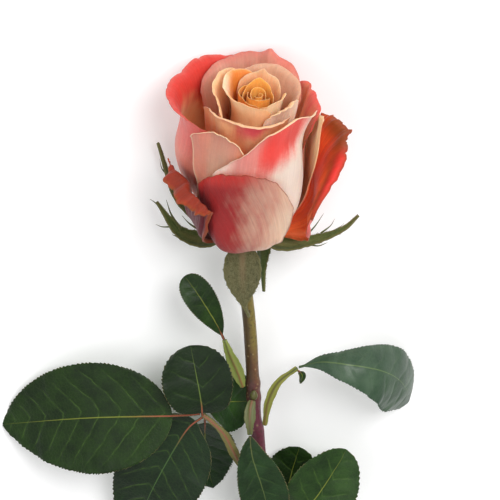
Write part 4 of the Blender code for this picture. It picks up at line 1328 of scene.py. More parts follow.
@dataclass
class Bloom:
    """The petals, from the tight spiral at the heart to the ragged guard petals. Lengths are in mm."""

    thick: Pair = (0.42, 0.14)  # at the foot and at the margin
    core_points: tuple[int, int] = (61, 41)
    points: tuple[int, int] = (85, 71)
    work: tuple[int, int] = (61, 51)  # points of the surface that the layers are laid with

    def outline(self, u: Array, v: Array, grid: Array, finish: PetalFinish,
                seed: int) -> tuple[Array, Array]:
        """Where the points of a fine petal lie on its work grid, once its margin is notched and rounded.

        Args:
            u: places across, one column.
            v: places up, one row.
            grid: the work grid.
            finish: says how worn the margin is.
            seed: sets the notches.

        Returns:
            Places along the two axes of the work grid.
        """
        tall = np.linalg.norm(np.diff(grid, axis=1), axis=2).sum(axis=1)
        tall = np.interp(u[:, 0], np.linspace(-1, 1, len(tall)), tall)[:, None]
        notch = np.clip(waver(u * finish.tears, seed, 4) + 0.25, 0, 2) ** 1.4 * finish.torn
        notch = notch + jagged(u * 8.0, seed + 20) * finish.ragged
        trim = notch / tall + finish.corner * np.abs(u) ** 7
        side = np.clip(waver(v * finish.tears + 0.2 * np.sign(u), seed + 50, 4), 0, 2) * finish.torn / 22.0
        side = side + jagged(v * 9.0 + 5.0 * np.sign(u), seed + 70) * finish.ragged / 26.0
        up = v * (1 - trim)
        out = u * (1 - side * np.abs(u) ** 2)
        n, m = grid.shape[:2]
        return (out + 1) / 2 * (n - 1), up * (m - 1) + 0 * out

    def fine(self, p: Petal, grid: Array, finish: PetalFinish,
             seed: int) -> tuple[Array, dict[str, Array], Array]:
        """A petal's fine grid, what is stored on it, and its thickness.

        Args:
            p: the petal.
            grid: its work grid in the bloom's frame.
            finish: how its margin is worn.
            seed: sets its notches and waves.

        Returns:
            The grid, its values and the thickness at each point.
        """
        nu, nv = self.points if p.name in PETAL_FINISHES else self.core_points
        u = np.linspace(-1, 1, nu)[:, None]
        v = (1 - (1 - np.linspace(0, 1, nv)) ** 1.2)[None, :]
        rows, columns = self.outline(u, v, grid, finish, seed)
        points = resampled(grid, rows, columns)
        tall = np.linalg.norm(np.diff(points, axis=1), axis=2).sum(axis=1)[:, None]
        wide = np.linalg.norm(np.diff(points, axis=0), axis=2).sum(axis=0)[None, :]
        margin = np.minimum((1 - v) * tall, (1 - np.abs(u)) * wide / 2)
        near = np.exp(-margin / finish.reach)
        pace = u * finish.ruffles + 0.4 * v + 0.8 * jagged(u * 2.5 + 0 * v, seed + 30)
        wave = waver(pace, seed + 100) * near * smooth(v / 0.4)
        creased = jagged(u * 5.0 + v * 2.0, seed + 31) - jagged(v * 6.0 - u * 1.5, seed + 32)
        lip = np.clip(1 - (1 - v) * tall / 2.2, 0, 1) ** 2
        rise = finish.ruffle * wave + finish.roll * lip + finish.creases * creased * smooth(v / 0.5)
        points = points + normals_of(points) * rise[..., None]
        thin = smooth(margin / 3.0)
        thick = self.thick[1] + (self.thick[0] - self.thick[1]) * thin * (1 - 0.45 * v)
        return points, {"across": u + 0 * v, "up": v + 0 * u, "margin": margin}, thick

    def build(self) -> list[Object]:
        """Makes every petal, each outside the last.

        Returns:
            The petals.
        """
        made = []
        layers = Layers()
        laid = POSE.flower_to_world() @ POSE.bloom_to_flower()
        group = petal_group(spot_group())
        for number, p in enumerate(PETALS):
            phi, r, z = petal_surface(p, *self.work)
            r = layers.clear_of(phi, r, z, p.clear)
            layers.add(phi, r, z)
            finish = PETAL_FINISHES.get(p.name, CORE)
            grid = np.stack([r * np.sin(phi), -r * np.cos(phi), z], -1)
            points, values, thick = self.fine(p, grid, finish, number + 1)
            maker = MeshMaker(p.name.replace("petal", "rose_petal"))
            maker.shell(moved(laid, points), thick, values)
            material = finish.material(p.name, group, number)
            made.append(maker.made(material, Layer.of(p.name).value, (p.name,)))
        return made


LEAF_CLOUDS = 0.12  # how many of a leaf's patterns fit in a mm
LEAF_GRAIN = 2.6
LEAF_NET = 0.75


def leaf_group() -> NodeTree:
    """Colour and relief of a leaf blade, with its midrib, its side veins and the net between them.

    Returns:
        The node group.
    """
    colours = ("Upper", "Upper Light", "Under", "Vein", "Midrib", "Midrib Foot", "Margin")
    inputs = {key: Socket.COLOUR for key in colours}
    inputs |= {"Vein Strength": Socket.NUMBER, "Seed": Socket.NUMBER}
    outputs = {"Colour": Socket.COLOUR, "Roughness": Socket.NUMBER, "Height": Socket.NUMBER}
    graph, given, made = new_group("leaf colour", inputs, outputs)
    off, far, vein, margin, along, under = graph.stored("off", "far", "vein", "margin", "along", "inside")
    spot = graph.place(far, off, given["Seed"])
    clouds = graph.swing(spot, LEAF_CLOUDS, 3.0, 0.55)
    grain = graph.swing(spot, LEAF_GRAIN, 3.0, 0.6)
    blotch = graph.scaled(grain, 0.7, graph.scaled(clouds, 2.6, 0.40))
    colour = graph.mix(blotch, given["Upper"], given["Upper Light"])
    stray = graph.times(graph.swing(spot, 0.11, 2.0, 0.5), 0.34)
    vein = graph.plus(vein, stray)
    away = graph.size(graph.less(graph.math("FRACT", graph.plus(vein, 0.5)), 0.5))
    fade = graph.step(margin, 1.0, 6.5)
    worn = graph.step(graph.noise(spot, 0.35, 2.0), 0.35, 0.62)
    line = graph.times(graph.step(away, 0.045, 0.008), graph.times(fade, worn))
    halo = graph.times(graph.step(away, 0.13, 0.02), fade)
    net = graph.cells(spot, LEAF_NET, "DISTANCE_TO_EDGE")
    mesh = graph.step(net, 0.09, 0.01)
    veined = graph.scaled(halo, 0.16, graph.scaled(line, 0.6, graph.times(mesh, 0.12)))
    colour = graph.mix(graph.times(veined, given["Vein Strength"]), colour, given["Vein"])
    colour = graph.mix(under, colour, given["Under"])
    wide = graph.scaled(along, -0.30, 0.40)
    rib = graph.step(graph.size(off), wide, graph.times(wide, 0.3))
    ribs = graph.mix(graph.step(along, 0.02, 0.3), given["Midrib Foot"], given["Midrib"])
    rib = graph.times(rib, graph.scaled(graph.step(along, 1.0, 0.5), 0.6, 0.3))
    colour = graph.mix(rib, colour, ribs)
    rim = graph.times(graph.step(margin, 0.22, 0.02), graph.times(worn, 0.55))
    colour = graph.mix(rim, colour, given["Margin"])
    graph.feed(made["Colour"], colour)
    graph.feed(made["Roughness"], graph.scaled(under, 0.22, graph.scaled(grain, 0.2, 0.42)))
    relief = graph.scaled(mesh, -0.35, graph.scaled(halo, -0.7, graph.times(grain, 0.5)))
    graph.feed(made["Height"], relief)
    return graph.tree


@dataclass(frozen=True)
class LeafFinish:
    """A leaf's colours."""

    upper: Colour = ink(14, 34, 5)
    light: Colour = ink(31, 56, 11)
    under: Colour = ink(84, 106, 72)
    vein: Colour = ink(74, 104, 40)
    midrib: Colour = ink(122, 130, 48)
    midrib_foot: Colour = ink(160, 84, 62)
    margin: Colour = ink(128, 112, 74)
    veins: float = 0.6
    gloss: float = 0.03

    def material(self, name: str, group: NodeTree, seed: int) -> Material:
        """The leaf's own material.

        Args:
            name: its name.
            group: the shared leaf colour.
            seed: what sets its blotches apart from the next leaf's.

        Returns:
            The material.
        """
        skin = replace(LEAF_SKIN, plain={**LEAF_SKIN.plain, "Coat Weight": self.gloss})
        return skin.over(name, group, Upper=self.upper, Upper_Light=self.light, Under=self.under,
                         Vein=self.vein, Midrib=self.midrib, Midrib_Foot=self.midrib_foot,
                         Margin=self.margin, Vein_Strength=self.veins, Seed=float(seed))


LEAF_FINISHES = {
    "leaf_right_blade": LeafFinish(
        # painted reflection: these greens are greyer and lighter than the other leaves', for the sheen of the
        # sky on its upward-turned face, over the leaf's own green
        upper=ink(40, 66, 44), light=ink(70, 92, 70), vein=ink(96, 118, 84),
        midrib=ink(96, 118, 72), midrib_foot=ink(66, 84, 48), margin=ink(70, 86, 62), veins=0.35,
        gloss=0.25),
    "leaf_left_upper": LeafFinish(
        upper=ink(11, 27, 8), light=ink(21, 40, 13), midrib=ink(96, 116, 52), veins=0.35),
    "leaf_left_lower": LeafFinish(
        upper=ink(13, 31, 12), light=ink(25, 48, 21), midrib=ink(70, 100, 52), gloss=0.12),
    "leaf_low_right": LeafFinish(upper=ink(22, 46, 12), light=ink(44, 74, 24), gloss=0.1),
    "leaf_left_behind_up": LeafFinish(upper=ink(24, 50, 18), light=ink(46, 76, 30), veins=0.3),
    "leaf_left_behind_down": LeafFinish(upper=ink(20, 46, 18), light=ink(36, 66, 26), veins=0.3),
    "leaf_front_blade": LeafFinish(
        upper=ink(20, 40, 16), light=ink(34, 60, 28), midrib=ink(86, 100, 54),
        midrib_foot=ink(92, 92, 50), veins=0.45),
}


@dataclass(frozen=True)
class StalkFinish:
    """Colours of a leaf stalk: a ribbed middle between paler wings."""

    wing: Colour = ink(146, 156, 78)
    middle: Colour = ink(150, 92, 62)
    tip: Colour = ink(134, 84, 52)

    def material(self, name: str, seed: int) -> Material:
        """The stalk's own material.

        Args:
            name: its name.
            seed: sets its streaks.

        Returns:
            The material.
        """
        material, graph, shader = STALK_SKIN.material(name)
        off, along = graph.stored("off", "along")
        streak = graph.noise(graph.place(graph.times(off, 3.0), graph.times(along, 4.0),
                                         float(seed)), 1.5, 3.0)
        middle = graph.step(graph.scaled(streak, 0.5, graph.size(off)), 1.05, 0.35)
        core = graph.mix(along, self.middle, self.tip)
        colour = graph.mix(middle, self.wing, core)
        colour = graph.mix(graph.times(streak, 0.35), colour, ink(90, 96, 40))
        graph.feed(shader.inputs["Base Color"], colour)
        graph.feed(shader.inputs["Roughness"], graph.scaled(streak, 0.2, 0.38))
        STALK_SKIN.raised(graph, shader, streak)
        return material


STALK_FINISHES = {
    "stalk_left": StalkFinish(
        wing=ink(112, 104, 56), middle=ink(128, 84, 60), tip=ink(150, 80, 66)),
    "stalk_right": StalkFinish(
        wing=ink(138, 140, 56), middle=ink(124, 92, 44), tip=ink(66, 78, 36)),
    "stalk_front": StalkFinish(wing=ink(88, 92, 46), middle=ink(132, 84, 62), tip=ink(50, 66, 30)),
    "stalk_upper": StalkFinish(
        wing=ink(138, 150, 70), middle=ink(150, 100, 58), tip=ink(84, 96, 46)),
}


@dataclass
class Foliage:
    """The leaves: toothed leaflets with their veins, and their winged stalks. Lengths are in mm."""

    thick: float = 0.42
    rib_thick: float = 1.0
    columns: int = 33
    row_length: float = 0.2
    rows: tuple[int, int] = (40, 420)  # the fewest and the most
    full_half: float = 12.0  # half width from which a leaflet has full teeth and veins
    least_half: float = 0.45
    tooth_length: float = 1.5
    tooth_depth: float = 0.3
    tooth_back: float = 0.75  # share of a tooth's length that rises to its point
    vein_spacing: float = 7.5
    vein_width: float = 1.1
    vein_depth: float = 0.16
    groove_depth: float = 0.32
    wave: float = 0.55
    stalk_points: tuple[int, int] = (61, 17)
    wing_thick: float = 0.3

    def half_width(self, b: Blade, t: Array) -> Array:
        """Half of a leaflet's width from its foot to its tip.

        Args:
            b: the leaflet.
            t: places along its blade, 0 to 1.

        Returns:
            The half width at each place, never less than the bare stalk's.
        """
        peak = b.low / (b.low + b.high)
        most = peak ** b.low * (1 - peak) ** b.high
        return np.maximum(b.half_width * t ** b.low * (1 - t) ** b.high / most, self.least_half)

    def saw(self, far: Array, right: bool, small: float, number: int) -> Array:
        """How far each place of a margin stands out in its row of teeth.

        Args:
            far: mm along the leaflet.
            right: whether it is the right margin.
            small: the leaflet's size as a share of a full one's.
            number: sets how the teeth vary.

        Returns:
            From about -0.5 between two teeth to 0.5 at a tooth's point.
        """
        pace = far / (self.tooth_length * max(small, 0.6)) + 0.25 * waver(far / 9.0, number + 80)
        phase = (pace + 0.4 * right) % 1.0
        back = self.tooth_back
        rise = np.where(phase < back, phase / back, (1 - phase) / (1 - back))
        return (rise - 0.5) * (0.75 + 0.35 * waver(pace / 5, number))

    def veins(self, far: Array, reach: Array, right: bool, small: float,
              number: int) -> Array:
        """Where each place lies among the side veins, which run at whole numbers.

        Args:
            far: mm along the leaflet.
            reach: mm from its midrib.
            right: whether it is the right half.
            small: the leaflet's size as a share of a full one's.
            number: sets how the veins stray.

        Returns:
            A number at each place.
        """
        pace = (far - 0.62 * reach - 0.012 * reach ** 2) / (self.vein_spacing * max(small, 0.55))
        return pace + (0.37 if right else 0.0) + 0.05 * waver(reach / 16.0 + far / 30.0, number + 7)

    def leaflet(self, b: Blade, number: int) -> tuple[Array, Array, dict[str, Array]]:
        """A leaflet's fine grid, its thickness and what is stored on it.

        Args:
            b: the leaflet.
            number: sets its waves.

        Returns:
            The grid, the thickness and the values.
        """
        length = np.linalg.norm(np.diff(spline(b.path, 40), axis=0), axis=1).sum()
        rows = int(np.clip(length / self.row_length, *self.rows))
        path = spline(b.path, rows)
        s = np.linspace(0, 1, rows)
        t = np.clip((s - b.stalk) / (1 - b.stalk), 0, 1)
        half = self.half_width(b, t)
        side, up = ribbon_frame(path, b.face)
        places = np.linspace(-1, 1, self.columns)
        places = np.sign(places) * np.abs(places) ** 0.75
        tangent = np.gradient(path, axis=0)
        tangent /= np.linalg.norm(tangent, axis=1, keepdims=True)
        far = s * length
        small = min(b.half_width / self.full_half, 1.0)
        deep = self.tooth_depth * smooth((half - 1.0) / 3.0) * b.toothed
        grid = np.zeros((self.columns, rows, 3))
        values = {key: np.zeros((self.columns, rows)) for key in ("off", "far", "vein", "margin", "along")}
        for i, place in enumerate(places):
            right = place > 0
            saw = self.saw(far, right, small, number)
            near = abs(place) ** 14
            off = half * place + np.sign(place) * near * deep * saw * 2
            reach = half * abs(place)
            veins = self.veins(far, reach, right, small, number)
            gap = np.abs((veins + 0.5) % 1.0 - 0.5) * self.vein_spacing * small
            sunk = np.exp(-(gap / self.vein_width) ** 2) * smooth((half - reach) / 4) * (b.half_width > 3)
            groove = math.exp(-(abs(place) * b.half_width) ** 2)
            wave = self.wave * small * abs(place) ** 2 * waver(far / 19.0 + (5 if right else 0), number)
            rise = b.fold * half * (abs(place) ** 1.5)
            rise = rise + (-self.vein_depth * sunk + -self.groove_depth * groove) * smooth(t / 0.1)
            rise = rise + wave * smooth(t / 0.2)
            grid[i] = path + side * off[:, None] + up * rise[:, None]
            grid[i] += tangent * (near * deep * 0.9 * np.clip(saw, 0, 1))[:, None]
            stored = {"off": off, "far": far, "vein": veins, "margin": half - reach, "along": t}
            for key, value in stored.items():
                values[key][i] = value
        middle = np.exp(-(np.abs(places) * b.half_width / 0.9) ** 2)[:, None]
        edge = smooth(values["margin"] / 1.5)
        rib = (self.rib_thick - self.thick) * middle * (1 - 0.5 * t[None, :])
        return grid, self.thick * (0.45 + 0.55 * edge) + rib, values

    def build(self) -> list[Object]:
        """Makes every leaflet and every stalk.

        Returns:
            The leaflets, then the stalks.
        """
        made = []
        laid = POSE.flower_to_world()
        group = leaf_group()
        for number, b in enumerate(LEAFLETS):
            grid, thick, values = self.leaflet(b, number)
            maker = MeshMaker(b.name.replace("leaf", "rose_leaf"))
            maker.shell(moved(laid, grid), thick, values)
            finish = LEAF_FINISHES.get(b.name, LeafFinish())
            made.append(maker.made(finish.material(b.name, group, number), "leaf", (b.name,)))
        for number, s in enumerate(STALKS):
            made.append(self.stalk(s, laid, STALK_FINISHES.get(s.name, StalkFinish()), number))
        return made

    def stalk(self, s: Stalk, laid: Matrix, finish: StalkFinish, number: int) -> Object:
        """Makes one winged stalk.

        Args:
            s: the stalk.
            laid: lays it on the table.
            finish: its colours.
            number: sets its waves and streaks.

        Returns:
            The stalk.
        """
        rows, columns = self.stalk_points
        path = spline(s.path, rows)
        at = np.linspace(0, 1, rows)
        half = np.interp(at, np.linspace(0, 1, len(s.wings)), s.wings)
        half = np.convolve(np.pad(half, 4, mode="edge"), np.ones(9) / 9, mode="valid")
        side, up = ribbon_frame(path, s.face)
        places = np.linspace(-1, 1, columns)
        edge = 0.12 * waver(at * 4, number + 40)
        grid = np.stack([path + side * (half * p + edge * p ** 3)[:, None]
                         + up * (0.2 * half * abs(p) ** 1.5)[:, None] for p in places])
        off = places[:, None] * half[None, :]
        round_part = np.exp(-(off / 0.75) ** 2)
        thick = self.wing_thick + (s.thick - self.wing_thick) * round_part
        values = {"off": off, "along": at[None, :] + 0 * off}
        maker = MeshMaker(s.name.replace("stalk", "rose_stalk"))
        maker.shell(moved(laid, grid), thick, values)
        return maker.made(finish.material(s.name, number), "leaf_stalk", (s.name,))


HAIRS = 3200.0  # hairs of the down in a metre
TUFTS = 700.0  # tufts of it in a metre


def down_group() -> NodeTree:
    """Fine short hairs lying on green skin: a colour and a height.

    Returns:
        The node group.
    """
    inputs = {"Skin": Socket.COLOUR, "Hair": Socket.COLOUR, "Amount": Socket.NUMBER}
    outputs = {"Colour": Socket.COLOUR, "Height": Socket.NUMBER}
    graph, given, made = new_group("down", inputs, outputs)
    place = graph.object_place()
    fine = graph.noise(place, HAIRS, 2.0, 0.6)
    coarse = graph.noise(place, TUFTS, 3.0, 0.6)
    share = graph.times(graph.step(graph.scaled(coarse, 0.5, fine), 0.55, 1.0), given["Amount"])
    graph.feed(made["Colour"], graph.mix(share, given["Skin"], given["Hair"]))
    graph.feed(made["Height"], fine)
    return graph.tree


@dataclass(frozen=True)
class SepalFinish:
    """Colours of a sepal's two faces."""

    outer: Colour = ink(66, 80, 30)
    inner: Colour = ink(58, 76, 24)
    keel: Colour = ink(118, 112, 66)
    hair: Colour = ink(128, 134, 86)
    margin: Colour = ink(104, 96, 52)
    deep: Colour = ink(44, 60, 18)
    down: float = 0.28

    def material(self, name: str, group: NodeTree) -> Material:
        """The sepal's own material.

        Args:
            name: its name.
            group: the shared down.

        Returns:
            The material.
        """
        material, graph, shader = SEPAL_SKIN.material(name)
        off, along, inside, margin = graph.stored("off", "along", "inside", "margin")
        off = graph.size(off)
        skin = graph.mix(inside, self.outer, self.inner)
        flesh = graph.noise(graph.place(graph.times(off, 1.4), graph.times(along, 7.0), 0.0), 1.2)
        skin = graph.mix(graph.step(flesh, 0.42, 0.7), skin, self.deep)
        keel = graph.times(graph.step(off, 2.0, 0.2), graph.step(along, 0.75, 0.1))
        skin = graph.mix(graph.times(keel, 0.6), skin, self.keel)
        skin = graph.mix(graph.times(graph.step(margin, 0.6, 0.1), 0.7), skin, self.margin)
        down = graph.group(group, Skin=skin, Hair=self.hair, Amount=self.down)
        graph.feed(shader.inputs["Base Color"], down.outputs["Colour"])
        SEPAL_SKIN.raised(graph, shader, down.outputs["Height"])
        return material


SEPAL_FINISHES = {
    "sepal_front": SepalFinish(
        outer=ink(78, 74, 42), inner=ink(72, 78, 38), keel=ink(126, 98, 72), hair=ink(124, 120, 86),
        margin=ink(96, 94, 48), deep=ink(56, 58, 28), down=0.6),
}


@dataclass(frozen=True)
class Lobe:
    """A thread that branches from a sepal's margin, in mm in the upright frame."""

    sepal: str
    path: Line
    width: float = 0.8


LOBES = [
    Lobe("sepal_left", ((-18.0, 0.2, -1.9), (-22.5, 0.4, -0.4), (-25.5, 0.3, 1.0)), 1.1),
    Lobe("sepal_left", ((-14.0, 0.2, 2.0), (-19.0, 0.6, 5.2), (-22.0, 0.8, 8.7)), 0.7),
    Lobe("sepal_left", ((-22.5, 0.8, 3.2), (-25.8, 1.0, 9.0), (-27.6, 1.2, 15.0)), 0.9),
    Lobe("sepal_left", ((-25.5, 1.6, 3.6), (-29.0, 1.8, 3.4), (-31.5, 1.9, 4.4)), 0.6),
    Lobe("sepal_left", ((-29.5, 3.0, 10.3), (-31.8, 3.2, 12.8), (-33.6, 3.0, 14.3)), 0.5),
    Lobe("sepal_right", ((22.0, -1.2, 0.6), (26.0, -0.6, 5.2), (29.0, 0.0, 10.0)), 0.9),
    Lobe("sepal_right", ((28.0, -0.4, 2.0), (31.5, 0.2, 4.8), (33.0, 0.4, 7.6)), 0.7),
    Lobe("sepal_right", ((33.0, 0.4, 2.8), (35.4, 0.7, 4.4), (36.4, 0.8, 5.6)), 0.5),
    Lobe("sepal_right", ((23.0, -0.7, -2.2), (27.0, -0.5, -3.2), (30.5, -0.3, -1.9)), 0.6),
    Lobe("sepal_back_left", ((-27.0, 13.6, 18.0), (-29.2, 13.2, 21.0), (-30.0, 13.0, 25.0)), 0.5),
]


@dataclass
class Calyx:
    """The five sepals, with threads at their margins and a fringe of short hairs. Lengths are in mm."""

    thick: float = 0.5
    keel_thick: float = 1.1
    points: tuple[int, int] = (91, 23)
    hairs: int = 150
    hair_length: float = 0.7
    hair_width: float = 0.035

    def fringe(self, maker: MeshMaker, grid: Array, seed: int) -> None:
        """Sets short hairs along both margins of a sepal's grid.

        Args:
            maker: the sepal's mesh.
            grid: its middle surface.
            seed: sets the hairs.
        """
        rng = np.random.default_rng(seed)
        for row, inner in ((grid[0], grid[1]), (grid[-1], grid[-2])):
            for _ in range(self.hairs):
                at = int(rng.integers(4, len(row) - 3))
                out = row[at] - inner[at]
                out /= max(np.linalg.norm(out), 1e-6)
                along = row[at + 1] - row[at]
                along /= max(np.linalg.norm(along), 1e-6)
                way = out + along * rng.uniform(-0.2, 0.9) + rng.normal(0, 0.25, 3)
                length = self.hair_length * rng.uniform(0.4, 1.0)
                path = row[at] - out * 0.1 + way * np.linspace(0, length, 3)[:, None]
                width = self.hair_width * np.array([1.0, 0.8, 0.05])
                maker.tube(path, width, 3, off=0.0, along=0.9, margin=0.0, inside=0.0)

    def build(self) -> list[Object]:
        """Makes the sepals.

        Returns:
            The sepals.
        """
        made = []
        laid = POSE.flower_to_world()
        group = down_group()
        for number, s in enumerate(SEPALS):
            rows, columns = self.points
            path = spline(s.path, rows)
            at = np.linspace(0, 1, rows)
            half = np.interp(at, np.linspace(0, 1, len(s.widths)), s.widths)
            half = np.convolve(np.pad(half, 5, mode="edge"), np.ones(11) / 11, mode="valid")
            side, up = ribbon_frame(path, s.face)
            places = np.linspace(-1, 1, columns)
            nibble = 0.18 * waver(at * 9, number + 60, 4) * smooth(half / 2)
            grid = np.stack([path + side * (half * p + nibble * p ** 5)[:, None]
                             + up * (s.fold * half * abs(p) ** 1.5)[:, None] for p in places])
            middle = np.exp(-(places[:, None] * half[None, :] / 0.9) ** 2)
            thick = self.thick + (self.keel_thick - self.thick) * middle
            reach = np.abs(places)[:, None] * half[None, :]
            values = {"off": reach, "along": at[None, :] + 0 * reach, "margin": half[None, :] - reach}
            maker = MeshMaker(s.name.replace("sepal", "rose_sepal"))
            maker.shell(moved(laid, grid), thick, values)
            self.fringe(maker, moved(laid, grid), number)
            for lobe in LOBES:
                if lobe.sepal == s.name:
                    threads = spline(lobe.path, 16)
                    width = lobe.width * np.linspace(1.0, 0.12, 16)
                    maker.tube(moved(laid, threads), width, 8, 0.4, off=1.0, along=0.8, margin=0.4,
                               inside=0.0)
            finish = SEPAL_FINISHES.get(s.name, SepalFinish())
            made.append(maker.made(finish.material(s.name, group), "sepal", (s.name,)))
        return made


NECK_COLOURS = (ink(70, 54, 26), ink(122, 108, 50))  # the stem's shaded and sunny side below the hip
BARK_BANDS = (  # heights where a colour starts and is full, then its shaded and its sunny side
    ((-36.0, -56.0), ink(72, 50, 30), ink(106, 72, 44)),
    ((-58.0, -74.0), ink(84, 40, 50), ink(104, 44, 60)),
    ((-120.0, -165.0), ink(66, 56, 40), ink(96, 78, 50)),
)
BARK_DOTS = 420.0  # pale dots of the bark in a metre
HIP_FOOT = (-13.0, -8.0)  # heights between which the stem turns to the hip


def bark_group() -> NodeTree:
    """Colour of the stem by its height, from the green hip down to the purple-red foot.

    Returns:
        The node group.
    """
    outputs = {"Colour": Socket.COLOUR, "Roughness": Socket.NUMBER, "Height": Socket.NUMBER}
    graph, _, made = new_group("bark", {}, outputs)
    high, turn, cut, tip = graph.stored("high", "turn", "cut", "tip")
    place = graph.object_place()
    cloud = graph.swing(place, 90.0, 3.0)
    fine = graph.swing(place, 900.0, 3.0)
    at = graph.scaled(cloud, 22.0, high)
    sunny = graph.step(graph.scaled(cloud, 0.8, turn), -0.5, 0.6)
    colour = graph.mix(sunny, *NECK_COLOURS)
    for (start, end), shaded, lit in BARK_BANDS:
        colour = graph.mix(graph.step(at, start, end), colour, graph.mix(sunny, shaded, lit))
    colour = graph.mix(graph.step(high, *HIP_FOOT), colour, ink(84, 84, 40))
    dots = graph.step(graph.cells(place, BARK_DOTS, "F1"), 0.22, 0.10)
    colour = graph.mix(graph.times(dots, 0.35), colour, ink(170, 150, 104))
    colour = graph.mix(graph.step(fine, -0.05, 0.35), colour, ink(60, 44, 30))
    pith = graph.mix(graph.step(fine, -0.1, 0.1), ink(176, 178, 122), ink(206, 204, 160))
    colour = graph.mix(cut, colour, pith)
    colour = graph.mix(graph.times(tip, 0.8), colour, ink(150, 96, 58))
    graph.feed(made["Colour"], colour)
    graph.feed(made["Roughness"], graph.scaled(fine, 0.3, 0.42))
    graph.feed(made["Height"], graph.scaled(dots, 0.5, fine))
    return graph.tree


@dataclass
class Stem:
    """The stem from its hip to its slanted cut, with knots, prickles and a bud. Lengths are in mm."""

    radius: float = 2.35
    sides: int = 40
    rings: int = 300
    prickles: int = 16
    seed: int = 7
    knot_swell: float = 0.45
    knot_length: float = 2.2
    cut_slant: float = 1.6
    cut_rings: tuple[float, ...] = (0.985, 0.7, 0.35, 0.01)  # the cut's rings, as shares of its width
    prickles_from: float = -28.0
    prickles_along: float = 190.0
    hip: tuple[Pair, ...] = HIP
    knots: tuple[float, ...] = KNOTS

    def skin(self, maker: MeshMaker, path: Array, radius: Array, shear: Array) -> None:
        """Adds the round skin, dented a little, and closes both ends.

        Args:
            maker: the stem's mesh.
            path: its middle.
            radius: its radius along the path.
            shear: how far each ring slants.
        """
        n = len(path)
        angle = np.linspace(0, 2 * np.pi, self.sides, endpoint=False)
        wobble = 0.05 * waver(path[:, 2:] / 40 + angle[None, :] / np.pi, 3, 3)
        r = radius[:, None] * (1 + 0.5 * wobble)
        points = np.stack([path[:, :1] + r * np.cos(angle), path[:, 1:2] + r * np.sin(angle),
                           path[:, 2:] + shear[:, None] * np.cos(angle)], -1)
        number = np.arange(n * self.sides).reshape(n, self.sides)
        after = np.roll(number, -1, axis=1)
        quads = np.stack([number[:-1], number[1:], after[1:], after[:-1]], -1).reshape(-1, 4)
        cut = np.zeros((n, self.sides))
        cut[-len(self.cut_rings):] = 1.0
        maker.add(points, quads, high=np.repeat(path[:, 2], self.sides), turn=np.tile(np.cos(angle), n),
                  cut=cut.ravel(), tip=0.0)

    def prickle(self, maker: MeshMaker, path: Array, z: float, angle: float, size: float) -> None:
        """Adds one prickle that points out and a little down.

        Args:
            maker: the stem's mesh.
            path: its middle.
            z: how high the prickle stands.
            angle: radians round the stem.
            size: its length.
        """
        x = np.interp(-z, -path[:, 2], path[:, 0])
        y = np.interp(-z, -path[:, 2], path[:, 1])
        out = np.array([math.cos(angle), math.sin(angle), 0.0])
        root = np.array([x, y, z]) + out * (self.radius - 0.4)
        share = np.linspace(0, 1, 12)
        middle = root + out * (size + 0.4) * share[:, None]
        middle[:, 2] -= size * 0.55 * share ** 2
        thick = (0.35 + 0.28 * size) * (1 - share) ** 1.5 + 0.03
        maker.tube(middle, thick, 10, 1.0, high=z, turn=math.cos(angle), cut=0.0, tip=share)

    def build(self) -> list[Object]:
        """Makes the stem.

        Returns:
            The stem alone.
        """
        path = spline(STEM_PATH, self.rings)
        swell = sum(np.exp(-((path[:, 2] - z) / self.knot_length) ** 2) for z in self.knots)
        radius = self.radius + self.knot_swell * swell
        hip_z = np.array([z for z, _ in self.hip])
        hip_r = np.array([r for _, r in self.hip])
        smooth_z = np.linspace(hip_z[0], hip_z[-1], 60)
        smooth_r = np.interp(-smooth_z, -hip_z, hip_r)
        smooth_r[1:-1] = (smooth_r[:-2] + 2 * smooth_r[1:-1] + smooth_r[2:]) / 4
        top = np.stack([0 * smooth_z, 0 * smooth_z, smooth_z], -1)
        rings = np.array(self.cut_rings)
        cap = np.repeat(path[-1:], len(rings), axis=0)
        middle = np.concatenate([top[:-1], path, cap])
        widths = np.concatenate([smooth_r[:-1], radius, self.radius * rings])
        slant = np.zeros(len(middle))
        slant[-len(rings) - 1:] = self.cut_slant * np.concatenate([[1.0], rings])
        maker = MeshMaker("rose_stem")
        self.skin(maker, middle, widths, slant)
        rng = np.random.default_rng(self.seed)
        for number in range(self.prickles):
            along = (number + 0.5 + rng.uniform(-0.3, 0.3)) / self.prickles
            z = self.prickles_from - along * self.prickles_along
            angle = rng.uniform(0, 2 * math.pi)
            size = rng.uniform(0.5, 0.8) if z > -120 else rng.uniform(1.2, 2.2)
            self.prickle(maker, path, z, angle, size)
        self.bud(maker)
        laid = POSE.flower_to_world()
        maker.points = [moved(laid, points) for points in maker.points]
        return [maker.made(self.material(), "stem", ("stem",))]

    def bud(self, maker: MeshMaker) -> None:
        """Adds the small bud between the stem and the front leaf's stalk, as one round body.

        Args:
            maker: the stem's mesh.
        """
        z = np.array([-66.4, -65.8, -65.0, -64.2, -63.4, -62.7, -62.2])
        middle = np.stack([3.9 + 0 * z, -2.9 + 0 * z, z], -1)
        thick = np.array([0.3, 1.0, 1.4, 1.45, 1.15, 0.7, 0.15])
        maker.tube(middle, thick, 14, 1.0, high=0.0, turn=0.3, cut=0.0, tip=0.0)

    def material(self) -> Material:
        """The stem's bark."""
        return BARK.over("bark", bark_group())


